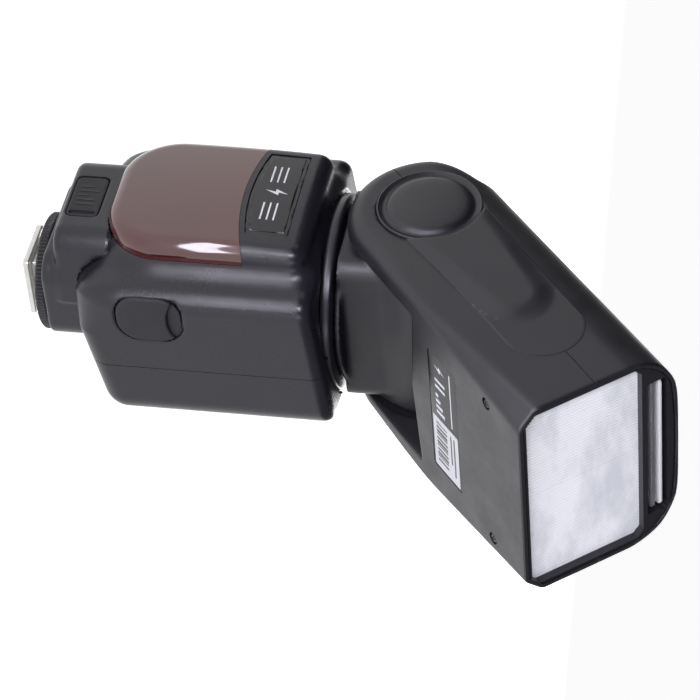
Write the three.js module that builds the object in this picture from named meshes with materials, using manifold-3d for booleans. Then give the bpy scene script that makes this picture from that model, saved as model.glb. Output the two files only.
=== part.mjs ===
// Speedlight flash: a battery-powered camera flash with a swivelling, tilting zoom head.
//
// Frame, in millimetres: the origin is the centre of the underside of the shoe foot, +Z runs up the body,
// -Y is the side with the red window and +X the side with the sync port. The head is stored swivelled a
// quarter turn, so its tilt axis lies along Y, and tilted over towards +X.
//
// Inside the head's own group, +Z runs to the lens, +X to the label side, -X to the bounce card.
import * as THREE from 'three';
import { mergeVertices } from 'three/addons/utils/BufferGeometryUtils.js';
import Module from 'manifold-3d';

const wasm = await Module();
wasm.setup();

// ---------------------------------------------------------------- driving dimensions
const GAP = 0.3; // air left between touching pieces
const WALL = 2; // moulded shell thickness
const HEAD_WALL = 1.3; // the same, in the head
const FAR = 200; // longer than the whole object

const FOOT = {
  width: 18.6, length: 21, thick: 2, neckWidth: 12.3, neckLength: 16, neckTop: 5, stemR: 8.5, top: 9.4,
};
const RING = { r: 18, bore: 8.8, low: 5.2, high: 8.7, ribs: 24, ribDepth: 0.7 };
const WASHER = { width: 20, length: 20, low: 4.2, high: 4.9 };
const PIN = { r: 1.4, y: -3.2, top: 7 };
const BASE = {
  halfWidth: 22, front: -21, back: 9, low: 9.7, high: 33, blockHalf: 19, blockFront: -31, blockLow: 14,
};
const POWER = { halfWidth: 9, low: 16, high: 26, recess: 1.4, cover: 2.2 };
const SOCKET = { halfWidth: 7, back: -21.3, low: 18, high: 24 };

const BODY = { half: 36, back: 25, shelf: -28, shoulder: -24, low: 22.5, high: 98, seam: 4, edge: 4 };
const SLOPE = { foot: 0.17, footAt: -12, head: 0.1, headAt: -3 };
const BUMP = { half: 24.8, front: -37, low: 29.8, high: 93, edge: 2 };
const WINDOW = { back: -28.3, topMid: 70, topSide: 74.4, thick: 1.8 };
const PLATE = { left: -19.7, right: 17, high: 86.4, midLow: 71.8, sideLow: 74, thick: 0.8 };
const CAVITY = { high: 93.2, doorWall: -32.2 };
const PORT = { y: -15.8, z: 46.6, width: 16.5, height: 20, recess: 1.3, cover: 2.3 };

const LCD = { half: 21, low: 65.5, high: 89.5, thick: 1.6 };
const KEY = { z: 59, halfWidth: 5, halfHeight: 2.4, x: [-17, 0, 17] };
const PAD = { z: 43, r: 12.5, inner: 6, okR: 5.2 };
const SIDE_KEY = { x: 23.5, z: 43, r: 4 };
const TRAVEL_ROOM = 2.4; // depth of a button behind the back face

const DOOR = { front: -18, back: 15.4, high: 88, thick: 2, barrelR: 1.8, barrelY: 17.6, pinR: 0.8 };
const CELL = { r: 7.1, low: 33.6, length: 49.6, x: [-24.6, -9.9], y: [-7.7, 7] };

const AXIS_Z = 126; // height of the tilt axis
const TILT = THREE.MathUtils.degToRad(50.2);
const COLLAR = { r: 30, low: 96, high: 99.4, spigotR: 23.7, spigotLow: 91, bore: 12.4 };
const NECK = {
  flangeR: 25.5, flangeLow: 99.8, flangeHigh: 101.4, halfX: 19.5, halfY: 27, drumR: 22.2, drumHalf: 28,
};
const SHAFT = { r: 3.5, half: 34.4, bushR: 6 };

const HEAD = {
  front: 90.8, half: 36, cheekIn: 28.6, cheekR: 24.6, drumR: 22.7, label: 25, card: 28.4,
  cutEdge: 28, coverEdge: -6, cavity: 30.5,
};
const LENS = { low: -15.6, high: 22.2, half: 33, back: 85.6, thick: 2.6, chamfer: 3 };
const BEZEL = { low: 83, high: 90.4 };
const SLOT = { near: -18.4, far: -23.5, half: 26 };
const CARD = { near: -21.7, far: -22.7, half: 25.2, low: 38, high: 89.8 };
const PANEL = { near: -19, far: -20.4, half: 25.5, low: 42, high: 89.6 };
const LABEL = { low: 40, high: 55.5, half: 23, thick: 0.5 };
const CAP = { r: 12.5, grooveR: 14.2, rimR: 16, top: 38.2 };
const ARM = { start: 14.6, end: 56.5, wideStart: 12.4, wideEnd: 7.5, low: 36.3, high: 38 };
const ZOOM = {
  x: 15, y: -28, motorR: 5, motorLow: 31, motorHigh: 36.6, screwR: 1.2,
  railX: -12, railY: 28.5, railR: 1.2,
};
const CARRIAGE = { low: 37, thick: 3, halfY: 31, left: -15, right: 20.5 };
const REFLECTOR = { low: 40.4, depth: 17, halfMouth: 15.5, x: 3.6, halfLength: 25, thick: 0.9 };

// ---------------------------------------------------------------- materials
const material = (color, roughness, metalness = 0, extra = {}) =>
  new THREE.MeshStandardMaterial({ color, roughness, metalness, ...extra });
const LOOK = {
  shell: material(0x232225, 0.5),
  rubber: material(0x1c1b1e, 0.75),
  window: material(0x3a120c, 0.08, 0, { transparent: true, opacity: 0.85 }),
  plate: material(0x151416, 0.35),
  steel: material(0xc9c9c4, 0.3, 1),
  brass: material(0xb9964f, 0.35, 1),
  ring: material(0x1d1d1f, 0.6),
  screen: material(0x39403c, 0.15),
  board: material(0x1e4a2d, 0.6),
  sleeve: material(0x20242c, 0.4),
  copper: material(0x9a5a35, 0.45, 0.6),
  cell: material(0x8a8f96, 0.35, 0.6),
  innerPlastic: material(0x2f2f33, 0.6),
  lens: material(0xe9eef2, 0.2, 0, { transparent: true, opacity: 0.6 }),
  mirror: material(0xdedede, 0.08, 1),
  card: material(0xf2f2ee, 0.6),
  label: material(0x9b9da0, 0.45),
};

// ---------------------------------------------------------------- shape helpers
/** A closed outline through corners [x, y, radius], each corner rounded. */
function rounded(corners) {
  const shape = new THREE.Shape();
  corners.forEach(([x, y, radius], i) => {
    const corner = new THREE.Vector2(x, y);
    const [px, py] = corners[(i + corners.length - 1) % corners.length];
    const [nx, ny] = corners[(i + 1) % corners.length];
    const from = new THREE.Vector2(px, py).sub(corner).normalize().multiplyScalar(radius).add(corner);
    const to = new THREE.Vector2(nx, ny).sub(corner).normalize().multiplyScalar(radius).add(corner);
    if (i === 0) shape.moveTo(from.x, from.y);
    else shape.lineTo(from.x, from.y);
    if (radius > 0) shape.quadraticCurveTo(x, y, to.x, to.y);
  });
  shape.closePath();
  return shape;
}

/** A rectangle from (x0, y0) to (x1, y1) with rounded corners. */
const rect = (x0, y0, x1, y1, radius = 0) =>
  rounded([[x0, y0, radius], [x1, y0, radius], [x1, y1, radius], [x0, y1, radius]]);

function circle(x, y, r) {
  const shape = new THREE.Shape();
  shape.absarc(x, y, r, 0, Math.PI * 2);
  return shape;
}

/** An extrusion of a shape from 0 to depth, with both rims rounded by edge. */
function slab(shape, depth, { edge = 0, segments = 4, rimSteps = 2 } = {}) {
  const geometry = new THREE.ExtrudeGeometry(shape, {
    depth: depth - 2 * edge, steps: 1, curveSegments: segments, bevelEnabled: edge > 0,
    bevelThickness: edge, bevelSize: edge, bevelOffset: -edge, bevelSegments: rimSteps,
  });
  return geometry.translate(0, 0, edge);
}

/** Extrusions along each axis: the shape is drawn in (x, y), (x, z) or (y, z). */
const alongZ = (shape, z0, z1, options) => solid(slab(shape, z1 - z0, options).translate(0, 0, z0));
const alongY = (shape, y0, y1, options) =>
  solid(slab(shape, y1 - y0, options).rotateX(Math.PI / 2).translate(0, y1, 0));
const YZ_TO_X = new THREE.Matrix4().makeBasis(
  new THREE.Vector3(0, 1, 0), new THREE.Vector3(0, 0, 1), new THREE.Vector3(1, 0, 0),
);
const alongX = (shape, x0, x1, options) =>
  solid(slab(shape, x1 - x0, options).applyMatrix4(YZ_TO_X).translate(x0, 0, 0));

const box = (x0, x1, y0, y1, z0, z1) =>
  solid(new THREE.BoxGeometry(x1 - x0, y1 - y0, z1 - z0).translate((x0 + x1) / 2, (y0 + y1) / 2, (z0 + z1) / 2));

/** Rods along each axis, from one end to the other. */
const rod = (r, length, sides) => new THREE.CylinderGeometry(r, r, length, sides);
const rodZ = (x, y, r, z0, z1, sides = 20) =>
  solid(rod(r, z1 - z0, sides).rotateX(Math.PI / 2).translate(x, y, (z0 + z1) / 2));
const rodY = (x, z, r, y0, y1, sides = 20) => solid(rod(r, y1 - y0, sides).translate(x, (y0 + y1) / 2, z));
const rodX = (y, z, r, x0, x1, sides = 20) =>
  solid(rod(r, x1 - x0, sides).rotateZ(Math.PI / 2).translate((x0 + x1) / 2, y, z));

/** A closed geometry as a manifold solid, and back. */
function solid(geometry) {
  const bare = new THREE.BufferGeometry();
  bare.setAttribute('position', geometry.attributes.position);
  bare.setIndex(geometry.index);
  const merged = mergeVertices(bare, 1e-4);
  return new wasm.Manifold(new wasm.Mesh({
    numProp: 3,
    vertProperties: new Float32Array(merged.attributes.position.array),
    triVerts: new Uint32Array(merged.index.array),
  }));
}

function surface(manifold) {
  const { vertProperties, triVerts } = manifold.getMesh();
  const geometry = new THREE.BufferGeometry();
  geometry.setAttribute('position', new THREE.BufferAttribute(vertProperties, 3));
  geometry.setIndex(new THREE.BufferAttribute(triVerts, 1));
  const faceted = geometry.toNonIndexed();
  faceted.computeVertexNormals();
  return faceted;
}

const join = (first, ...others) => others.reduce((sum, other) => sum.add(other), first);
const cut = (first, ...others) => others.reduce((rest, other) => rest.subtract(other), first);

const flash = new THREE.Group();
const head = new THREE.Group();
head.position.set(0, 0, AXIS_Z);
head.rotation.y = TILT;
flash.add(head);

function add(group, name, manifold, look) {
  const mesh = new THREE.Mesh(surface(manifold), look.clone());
  mesh.name = name;
  group.add(mesh);
}

// ---------------------------------------------------------------- body: outer form
/** The main box of the body, grown on every side; its two ends slope with y. */
function mainBox(grow = 0, edge = BODY.edge) {
  const side = BODY.half + grow;
  const outline = rounded([
    [side, BODY.back + grow, 8], [-side, BODY.back + grow, 8],
    [-side, BODY.shoulder - grow, 3.5], [-BUMP.half, BODY.shelf - grow, 3],
    [BUMP.half, BODY.shelf - grow, 3], [side, BODY.shoulder - grow, 3.5],
  ]);
  const low = BODY.low - grow;
  const high = BODY.high + grow;
  const geometry = slab(outline, high - low, { edge, segments: 4 }).translate(0, 0, low);
  const place = geometry.attributes.position;
  for (let i = 0; i < place.count; i += 1) {
    const y = place.getY(i);
    const t = (place.getZ(i) - low) / (high - low);
    const rise = (1 - t) * SLOPE.foot * (y - SLOPE.footAt) + t * SLOPE.head * (y - SLOPE.headAt);
    place.setZ(i, place.getZ(i) + rise);
  }
  return solid(geometry);
}

/** The raised front of the body, which carries the window and the name plate. */
function bump(inset = 0) {
  const half = BUMP.half - inset;
  const outline = rounded([
    [-half, BUMP.low + inset, 17], [half, BUMP.low + inset, 17],
    [half, BUMP.high - inset, 5], [-half, BUMP.high - inset, 5],
  ]);
  return alongY(outline, BUMP.front + inset, -15, { edge: BUMP.edge, segments: 8 });
}

/** Everything below the window's curved upper edge, drawn in (x, z). */
function belowArc(rise, halfWidth = 32) {
  const shape = new THREE.Shape();
  shape.moveTo(-halfWidth, -FAR);
  shape.lineTo(halfWidth, -FAR);
  shape.lineTo(halfWidth, WINDOW.topSide + rise);
  const control = 2 * WINDOW.topMid - WINDOW.topSide;
  shape.quadraticCurveTo(0, control + rise, -halfWidth, WINDOW.topSide + rise);
  shape.closePath();
  return shape;
}

function plateOutline(grow) {
  const shape = new THREE.Shape();
  shape.moveTo(PLATE.left - grow, PLATE.high + grow);
  shape.lineTo(PLATE.left - grow, PLATE.sideLow - grow);
  shape.quadraticCurveTo(0, 2 * PLATE.midLow - PLATE.sideLow - grow, PLATE.right + grow, PLATE.sideLow - grow);
  shape.lineTo(PLATE.right + grow, PLATE.high + grow);
  shape.closePath();
  return shape;
}

const portOutline = (grow) => rect(
  PORT.y - PORT.width / 2 - grow, PORT.z - PORT.height / 2 - grow,
  PORT.y + PORT.width / 2 + grow, PORT.z + PORT.height / 2 + grow, 7,
);

/** The space that the battery door and its hinge take out of the side wall. */
function doorPocket(grow) {
  const inner = -BODY.half + DOOR.thick + grow;
  const grooveR = DOOR.barrelR + grow + 0.1;
  const panel = box(-FAR, inner - GAP, DOOR.front - grow, DOOR.barrelY + grooveR, 0, DOOR.high + grow);
  const behind = box(-FAR, inner, DOOR.front - grow, DOOR.barrelY, 0, DOOR.high + grow);
  return join(panel, behind, rodZ(inner - GAP, DOOR.barrelY, grooveR, 0, DOOR.high + grow));
}

/** Both shells in one piece, before the seam splits them. */
function bodyForm() {
  const main = mainBox(-WALL, 0).intersect(box(CAVITY.doorWall, FAR, -FAR, FAR, 0, CAVITY.high));
  const front = box(
    -BUMP.half + WALL, BUMP.half - WALL, BUMP.front + WALL, 0, WINDOW.topSide + 2, BUMP.high - WALL,
  );
  const holes = [
    alongY(belowArc(GAP), -FAR, WINDOW.back + GAP),
    alongY(plateOutline(GAP / 2), BUMP.front - 1, BUMP.front + PLATE.thick),
    alongY(rect(-13, 40, 13, 62, 2), BODY.shelf - 1, BODY.shelf + WALL + 1),
    alongX(portOutline(GAP), BODY.half - PORT.recess, FAR),
    rodX(PORT.y, PORT.z, 3.8, BODY.half - 8, FAR),
    rodZ(0, 0, COLLAR.r + GAP, COLLAR.low - GAP, FAR, 48),
    rodZ(0, 0, COLLAR.spigotR + GAP, CAVITY.high - 5, FAR, 32),
    box(-6, 6, -10, 2, 0, 40),
    box(-SOCKET.halfWidth - GAP, SOCKET.halfWidth + GAP, -FAR, SOCKET.back + GAP, 0, SOCKET.high + GAP),
    doorPocket(GAP),
    box(-FAR, -20, -15.6, 14.9, 32.6, 86),
  ];
  return cut(join(mainBox(), bump()), main, front, ...holes);
}

function backHoles() {
  const back = BODY.back;
  const through = [back - 6, back + 5];
  return [
    alongY(rect(-LCD.half - GAP, LCD.low - GAP, LCD.half + GAP, LCD.high + GAP, 1.5), back - LCD.thick - GAP, back + 5),
    alongY(rect(-LCD.half + 2, LCD.low + 2, LCD.half - 2, LCD.high - 2, 1), ...through),
    ...KEY.x.map((x) => alongY(keyOutline(x, GAP), ...through)),
    rodY(0, PAD.z, PAD.r + GAP, ...through, 32),
    rodY(-SIDE_KEY.x, SIDE_KEY.z, SIDE_KEY.r + GAP, ...through),
    alongY(switchOutline(GAP, 4), ...through),
  ];
}

const keyOutline = (x, grow) => rect(
  x - KEY.halfWidth - grow, KEY.z - KEY.halfHeight - grow, x + KEY.halfWidth + grow, KEY.z + KEY.halfHeight + grow, 2,
);

/** The power switch's knob, with room above it for its travel. */
const switchOutline = (grow, travel) => rect(
  SIDE_KEY.x - 3 - grow, SIDE_KEY.z - 5 - grow, SIDE_KEY.x + 3 + grow, SIDE_KEY.z + 1 + grow + travel, 1.5,
);

function addShells() {
  const form = bodyForm();
  const frontHalf = box(-FAR, FAR, -FAR, BODY.seam - GAP / 2, -FAR, FAR);
  const rearHalf = box(-FAR, FAR, BODY.seam + GAP / 2, FAR, -FAR, FAR);
  add(flash, 'front_shell', form.intersect(frontHalf), LOOK.shell);
  add(flash, 'rear_shell', cut(form.intersect(rearHalf), ...backHoles()), LOOK.shell);
}

function addWindowAndPlate() {
  const glass = bump().intersect(alongY(belowArc(0), -FAR, WINDOW.back));
  add(flash, 'front_window', cut(glass, bump(WINDOW.thick)), LOOK.window);
  add(flash, 'name_plate', alongY(plateOutline(-GAP / 2), BUMP.front, BUMP.front + PLATE.thick - GAP), LOOK.plate);
  const lamp = join(
    box(-11, 3, BODY.shelf + WALL + GAP, -22, 42, 60),
    rodY(-4, 51, 5, BODY.shelf - 3, -23),
  );
  add(flash, 'assist_lamp', lamp, LOOK.window);
}

// ---------------------------------------------------------------- shoe
function addShoe() {
  const plate = alongZ(
    rect(-FOOT.width / 2, -FOOT.length / 2, FOOT.width / 2, FOOT.length / 2, 1), 0, FOOT.thick, { edge: 0.3, rimSteps: 1 },
  );
  const neck = box(
    -FOOT.neckWidth / 2, FOOT.neckWidth / 2, -FOOT.neckLength / 2, FOOT.neckLength / 2, FOOT.thick / 2, FOOT.neckTop,
  );
  const stem = rodZ(0, 0, FOOT.stemR, FOOT.neckTop - 0.1, FOOT.top);
  const pinHole = rodZ(0, PIN.y, PIN.r + GAP, -1, FOOT.top + 1);
  add(flash, 'shoe_foot', cut(join(plate, neck, stem), pinHole), LOOK.steel);

  const pin = join(rodZ(0, PIN.y, PIN.r, 0.05, PIN.top, 16), rodZ(0, PIN.y, PIN.r, PIN.top - 0.1, FOOT.top - 0.3, 12));
  add(flash, 'contact_pin', pin, LOOK.brass);

  const hole = box(
    -FOOT.neckWidth / 2 - GAP, FOOT.neckWidth / 2 + GAP, -FOOT.neckLength / 2 - GAP, FOOT.neckLength / 2 + GAP, 0, 20,
  );
  const washer = alongZ(
    rect(-WASHER.width / 2, -WASHER.length / 2, WASHER.width / 2, WASHER.length / 2, 2), WASHER.low, WASHER.high,
  );
  add(flash, 'lock_washer', cut(washer, hole), LOOK.steel);

  const rim = new THREE.Shape();
  for (let i = 0; i < 2 * RING.ribs; i += 1) {
    const angle = (i / RING.ribs) * Math.PI;
    const r = RING.r - (i % 2) * RING.ribDepth;
    if (i === 0) rim.moveTo(r, 0);
    else rim.lineTo(r * Math.cos(angle), r * Math.sin(angle));
  }
  rim.closePath();
  add(flash, 'locking_ring', cut(alongZ(rim, RING.low, RING.high), rodZ(0, 0, RING.bore, 0, 20)), LOOK.ring);
}

/** The moulded neck between the body and the locking ring, with the external power port in its front. */
function addShoeBase() {
  const side = BASE.halfWidth;
  const neck = alongZ(
    rounded([[side, BASE.back, 7], [-side, BASE.back, 7], [-side, BASE.front, 7], [side, BASE.front, 7]]),
    BASE.low, BASE.high, { edge: 1.5, rimSteps: 1 },
  );
  const block = alongZ(
    rounded([
      [BASE.blockHalf + 3, -8, 4], [-BASE.blockHalf - 3, -8, 4],
      [-BASE.blockHalf, BASE.blockFront, 6], [BASE.blockHalf, BASE.blockFront, 6],
    ]),
    BASE.blockLow, BASE.high, { edge: 2, rimSteps: 2 },
  );
  const pocket = alongY(
    rect(-POWER.halfWidth - GAP, POWER.low - GAP, POWER.halfWidth + GAP, POWER.high + GAP, 2),
    BASE.blockFront - 5, BASE.blockFront + POWER.recess,
  );
  const socketHole = box(
    -SOCKET.halfWidth - GAP, SOCKET.halfWidth + GAP, BASE.blockFront, SOCKET.back + GAP, SOCKET.low - GAP, SOCKET.high + GAP,
  );
  const wireway = box(-6, 6, -10, 2, 0, 60);
  const aboveWindow = alongY(rect(-40, BUMP.low - GAP, 40, FAR), -FAR, BODY.shelf);
  add(flash, 'shoe_base', cut(join(neck, block), mainBox(GAP), aboveWindow, pocket, socketHole, wireway), LOOK.shell);

  const front = BASE.blockFront + POWER.recess - GAP;
  const cover = alongY(
    rect(-POWER.halfWidth, POWER.low, POWER.halfWidth, POWER.high, 2), front - POWER.cover, front, { edge: 0.5, rimSteps: 1 },
  );
  add(flash, 'power_port_cover', cover, LOOK.rubber);

  const contacts = [-4, 0, 4].map((x) => rodY(x, 21, 1, -FAR, -25, 12));
  const socket = box(
    -SOCKET.halfWidth, SOCKET.halfWidth, BASE.blockFront + POWER.recess + GAP, SOCKET.back, SOCKET.low, SOCKET.high,
  );
  add(flash, 'power_socket', cut(socket, ...contacts), LOOK.innerPlastic);
}

// ---------------------------------------------------------------- side port
function addSidePort() {
  const inner = BODY.half - PORT.recess + GAP;
  const cover = alongX(portOutline(0), inner, inner + PORT.cover, { edge: 0.6, rimSteps: 2 });
  const nailNotch = alongX(circle(PORT.y, PORT.z + 19, 12), BODY.half + 0.5, FAR, { segments: 12 });
  add(flash, 'side_port_cover', cut(cover, nailNotch), LOOK.rubber);
  const jack = cut(
    rodX(PORT.y, PORT.z, 3.5, 27, BODY.half - PORT.recess - 0.1),
    rodX(PORT.y, PORT.z, 1.75, 29, FAR),
  );
  add(flash, 'sync_socket', jack, LOOK.brass);
}

// ---------------------------------------------------------------- control panel
function addControls() {
  const back = BODY.back;
  add(flash, 'lcd_window', alongY(
    rect(-LCD.half, LCD.low, LCD.half, LCD.high, 1.5), back - LCD.thick, back - 0.1,
  ), LOOK.screen);
  add(flash, 'lcd_panel', box(
    -LCD.half - 1, LCD.half + 1, back - 5.2, back - WALL - GAP, LCD.low - 1, LCD.high + 1,
  ), LOOK.innerPlastic);
  ['mode_button', 'zoom_button', 'light_button'].forEach((name, i) => {
    add(flash, name, alongY(keyOutline(KEY.x[i], 0), back - TRAVEL_ROOM, back + 0.9, { edge: 0.4, rimSteps: 1 }), LOOK.rubber);
  });
  const pad = cut(
    rodY(0, PAD.z, PAD.r, back - TRAVEL_ROOM, back + 1, 32),
    rodY(0, PAD.z, PAD.inner, 0, 60, 24),
  );
  add(flash, 'four_way_pad', pad, LOOK.rubber);
  add(flash, 'ok_button', rodY(0, PAD.z, PAD.okR, back - TRAVEL_ROOM, back + 1.1, 20), LOOK.rubber);
  add(flash, 'test_button', rodY(-SIDE_KEY.x, SIDE_KEY.z, SIDE_KEY.r, back - TRAVEL_ROOM, back + 0.8, 20), LOOK.rubber);
  add(flash, 'power_switch', alongY(switchOutline(0, 0), back - TRAVEL_ROOM, back + 1, { edge: 0.4, rimSteps: 1 }), LOOK.rubber);
}

// ---------------------------------------------------------------- electronics and batteries
function addElectronics() {
  const board = cut(box(-32, 32, 17.5, 19, 33.5, 88), rodZ(0, 0, COLLAR.spigotR + 1, 85, 99));
  add(flash, 'main_board', board, LOOK.board);
  const can = join(rodZ(16.4, -6, 12, 34, 85, 24), rodZ(16.4, -6, 10.5, 84.9, 86, 24));
  add(flash, 'main_capacitor', can, LOOK.sleeve);
  const coil = join(box(8, 26, 6.6, 17, 44, 47), box(8, 26, 6.6, 17, 61, 64), box(10, 24, 7.6, 16, 46.9, 61.1));
  add(flash, 'transformer', coil, LOOK.copper);
}

/** Four cells side by side in a tray that is open towards the door. */
function addBatteries() {
  const outer = box(-32, -1.2, -16.4, 15.7, 31.6, 85.4);
  const room = box(-40, -2.4, -15.4, 14.7, 32.6, 84.4);
  add(flash, 'battery_holder', cut(outer, room), LOOK.innerPlastic);
  let number = 0;
  for (const x of CELL.x) {
    for (const y of CELL.y) {
      number += 1;
      const top = CELL.low + CELL.length - 1.5;
      const cell = join(rodZ(x, y, CELL.r, CELL.low, top), rodZ(x, y, 2.6, top - 0.1, CELL.low + CELL.length, 10));
      add(flash, `battery_cell_${number}`, cell, LOOK.cell);
    }
  }
  add(flash, 'battery_contact_plate', box(-31.5, -2.8, -15, 14.3, 32.9, 33.3), LOOK.steel);
}

function addBatteryDoor() {
  const axisX = -BODY.half + DOOR.thick - GAP / 2;
  const bracketLow = 40;
  const bracketHigh = 78;
  const panel = mainBox().intersect(
    box(-FAR, -BODY.half + DOOR.thick, DOOR.front, DOOR.barrelY, 0, DOOR.high),
  );
  const barrel = rodZ(axisX, DOOR.barrelY, DOOR.barrelR, bracketLow, bracketHigh);
  const bore = rodZ(axisX, DOOR.barrelY, DOOR.pinR + 0.15, 0, FAR, 16);
  const clearance = cut(
    box(-FAR, 0, DOOR.barrelY - 2.2, FAR, 0, FAR),
    box(-FAR, 0, DOOR.barrelY - 3, DOOR.barrelY, bracketLow, bracketHigh),
  );
  const door = cut(join(cut(panel, clearance), barrel), bore);
  add(flash, 'battery_door', door, LOOK.shell);

  const pin = rodZ(axisX, DOOR.barrelY, DOOR.pinR, bracketLow - 4, bracketHigh + 4, 16);
  const lugs = [[bracketLow - 4, bracketLow - GAP], [bracketHigh + GAP, bracketHigh + 4]].map(([low, high]) =>
    rodZ(axisX, DOOR.barrelY, DOOR.barrelR, low, high));
  add(flash, 'door_hinge_pin', join(pin, ...lugs), LOOK.steel);
}

// ---------------------------------------------------------------- swivel collar and neck
function addCollar() {
  const collar = cut(
    join(
      rodZ(0, 0, COLLAR.r, COLLAR.low, COLLAR.high, 40),
      rodZ(0, 0, COLLAR.spigotR, COLLAR.spigotLow, COLLAR.low + 0.1, 32),
    ),
    rodZ(0, 0, COLLAR.bore, 0, FAR),
  );
  add(flash, 'swivel_collar', collar, LOOK.shell);
}

/** Turns with the head: a flange on the collar, a pedestal, and the drum that the head tilts around. */
function addNeck() {
  const boss = COLLAR.bore - 0.4;
  const foot = join(
    rodZ(0, 0, NECK.flangeR, NECK.flangeLow, NECK.flangeHigh, 36),
    rodZ(0, 0, boss, COLLAR.spigotLow - 2.2, NECK.flangeHigh, 24),
    alongZ(rect(-NECK.halfX, -NECK.halfY, NECK.halfX, NECK.halfY, 6), NECK.flangeHigh - 0.5, AXIS_Z),
  );
  const drum = rodY(0, AXIS_Z, NECK.drumR, -NECK.drumHalf, NECK.drumHalf, 36);
  const hollow = [
    rodY(0, AXIS_Z, NECK.drumR - WALL, -NECK.drumHalf + WALL, NECK.drumHalf - WALL, 24),
    box(-NECK.halfX + WALL, NECK.halfX - WALL, -NECK.halfY + WALL, NECK.halfY - WALL, NECK.flangeHigh, AXIS_Z),
    rodZ(0, 0, boss - WALL, 0, AXIS_Z),
    rodY(0, AXIS_Z, SHAFT.r + 0.1, -FAR, FAR),
  ];
  const tower = cut(join(foot, drum), ...hollow);
  add(flash, 'swivel_neck', tower, LOOK.shell);
  add(flash, 'tilt_shaft', rodY(0, AXIS_Z, SHAFT.r, -SHAFT.half, SHAFT.half), LOOK.steel);

  const retainer = cut(
    rodZ(0, 0, boss + 3, COLLAR.spigotLow - 2, COLLAR.spigotLow - GAP, 32),
    rodZ(0, 0, boss + 0.15, 0, FAR),
  );
  add(flash, 'swivel_retainer', retainer, LOOK.steel);
}

// ---------------------------------------------------------------- head: outer form
/** The head's cross-section, drawn in (x, y) and pulled in by inset. */
function section(inset) {
  const label = HEAD.label - inset;
  const half = HEAD.half - inset;
  const card = HEAD.card - inset;
  const corner = inset * 0.6;
  const right = [
    [label, 30 - corner, 2], [19.7 - corner, half, 2.5], [-16.6 + corner, half, 3.5],
    [-26.6 + inset, 26.5 - corner, 3.5], [-card, 14, 6],
  ];
  const left = right.map(([x, y, r]) => [x, -y, r]).reverse();
  return rounded([...right, ...left]);
}

/** The head's side view, drawn in (x, z): round cheeks behind, square at the lens. */
function sideView() {
  const shape = new THREE.Shape();
  const r = HEAD.cheekR;
  const front = HEAD.front;
  shape.moveTo(HEAD.label, front);
  shape.lineTo(HEAD.label, 8);
  shape.lineTo(r, 0);
  shape.absarc(0, 0, r, 0, -Math.PI + Math.atan2(-HEAD.coverEdge, r), true);
  shape.lineTo(-HEAD.card + 3, HEAD.coverEdge);
  shape.lineTo(-HEAD.card, HEAD.coverEdge + 3);
  shape.lineTo(-HEAD.card, front);
  shape.closePath();
  return shape;
}

function headForm() {
  const inY = HEAD.cheekIn;
  const outer = alongZ(section(0), -40, HEAD.front)
    .intersect(alongY(sideView(), -HEAD.half - 1, HEAD.half + 1, { segments: 16 }));
  const aroundDrum = cut(
    alongZ(section(HEAD_WALL), CAP.rimR + 1, HEAD.cavity + 1),
    rodY(0, 0, HEAD.drumR + WALL, -inY - WALL, inY + WALL, 32),
    box(0, 60, -inY - WALL, inY + WALL, 0, HEAD.cutEdge + WALL),
  );
  const holes = [
    aroundDrum,
    rodY(0, 0, HEAD.drumR, -inY, inY, 36),
    box(0, 60, -inY, inY, -60, HEAD.cutEdge),
    box(-60, 60, -inY, inY, -60, HEAD.coverEdge),
    alongZ(section(HEAD_WALL), HEAD.cavity, FAR),
    rodY(0, 0, SHAFT.bushR + 0.1, -SHAFT.half, SHAFT.half, 24),
    alongX(rect(-LABEL.half - GAP, LABEL.low - GAP, LABEL.half + GAP, LABEL.high + GAP, 0.8), HEAD.label - LABEL.thick, FAR),
    ...[-1, 1].map((side) => side > 0
      ? rodY(0, 0, CAP.rimR, HEAD.half - 0.6, FAR, 32)
      : rodY(0, 0, CAP.rimR, -FAR, -HEAD.half + 0.6, 32)),
  ];
  return cut(outer, ...holes);
}

function addHeadShells() {
  const form = headForm();
  const labelHalf = box(GAP / 2, FAR, -FAR, FAR, -FAR, FAR);
  const cardHalf = box(-FAR, -GAP / 2, -FAR, FAR, -FAR, FAR);
  add(head, 'head_lower_shell', form.intersect(labelHalf), LOOK.shell);
  add(head, 'head_upper_shell', form.intersect(cardHalf), LOOK.shell);
}

/** A chamfered rectangle for the lens opening, drawn in (x, y). */
function lensOutline(grow) {
  const low = LENS.low - grow;
  const high = LENS.high + grow;
  const half = LENS.half + grow;
  const c = LENS.chamfer;
  return rounded([
    [low + c, half, 1], [low, half - c, 1], [low, c - half, 1], [low + c, -half, 1],
    [high - c, -half, 1], [high, c - half, 1], [high, half - c, 1], [high - c, half, 1],
  ]);
}

function addLensAndBezel() {
  const lensHigh = LENS.back + LENS.thick;
  const bezel = cut(
    alongZ(section(HEAD_WALL + GAP), BEZEL.low, BEZEL.high),
    alongZ(lensOutline(-0.3), 0, FAR),
    alongZ(lensOutline(0.4 + GAP), BEZEL.low - 1, lensHigh + GAP),
    alongZ(rect(SLOT.far, -SLOT.half, SLOT.near, SLOT.half, 0.8), 0, FAR),
  );
  add(head, 'front_bezel', bezel, LOOK.shell);
  add(head, 'fresnel_lens', alongZ(lensOutline(0.4), LENS.back, lensHigh), LOOK.lens);
}

function addSlidingCards() {
  add(head, 'bounce_card', alongX(rect(-CARD.half, CARD.low, CARD.half, CARD.high, 2), CARD.far, CARD.near), LOOK.card);
  add(head, 'wide_panel', alongX(rect(-PANEL.half, PANEL.low, PANEL.half, PANEL.high, 2), PANEL.far, PANEL.near), LOOK.lens);
}

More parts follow.
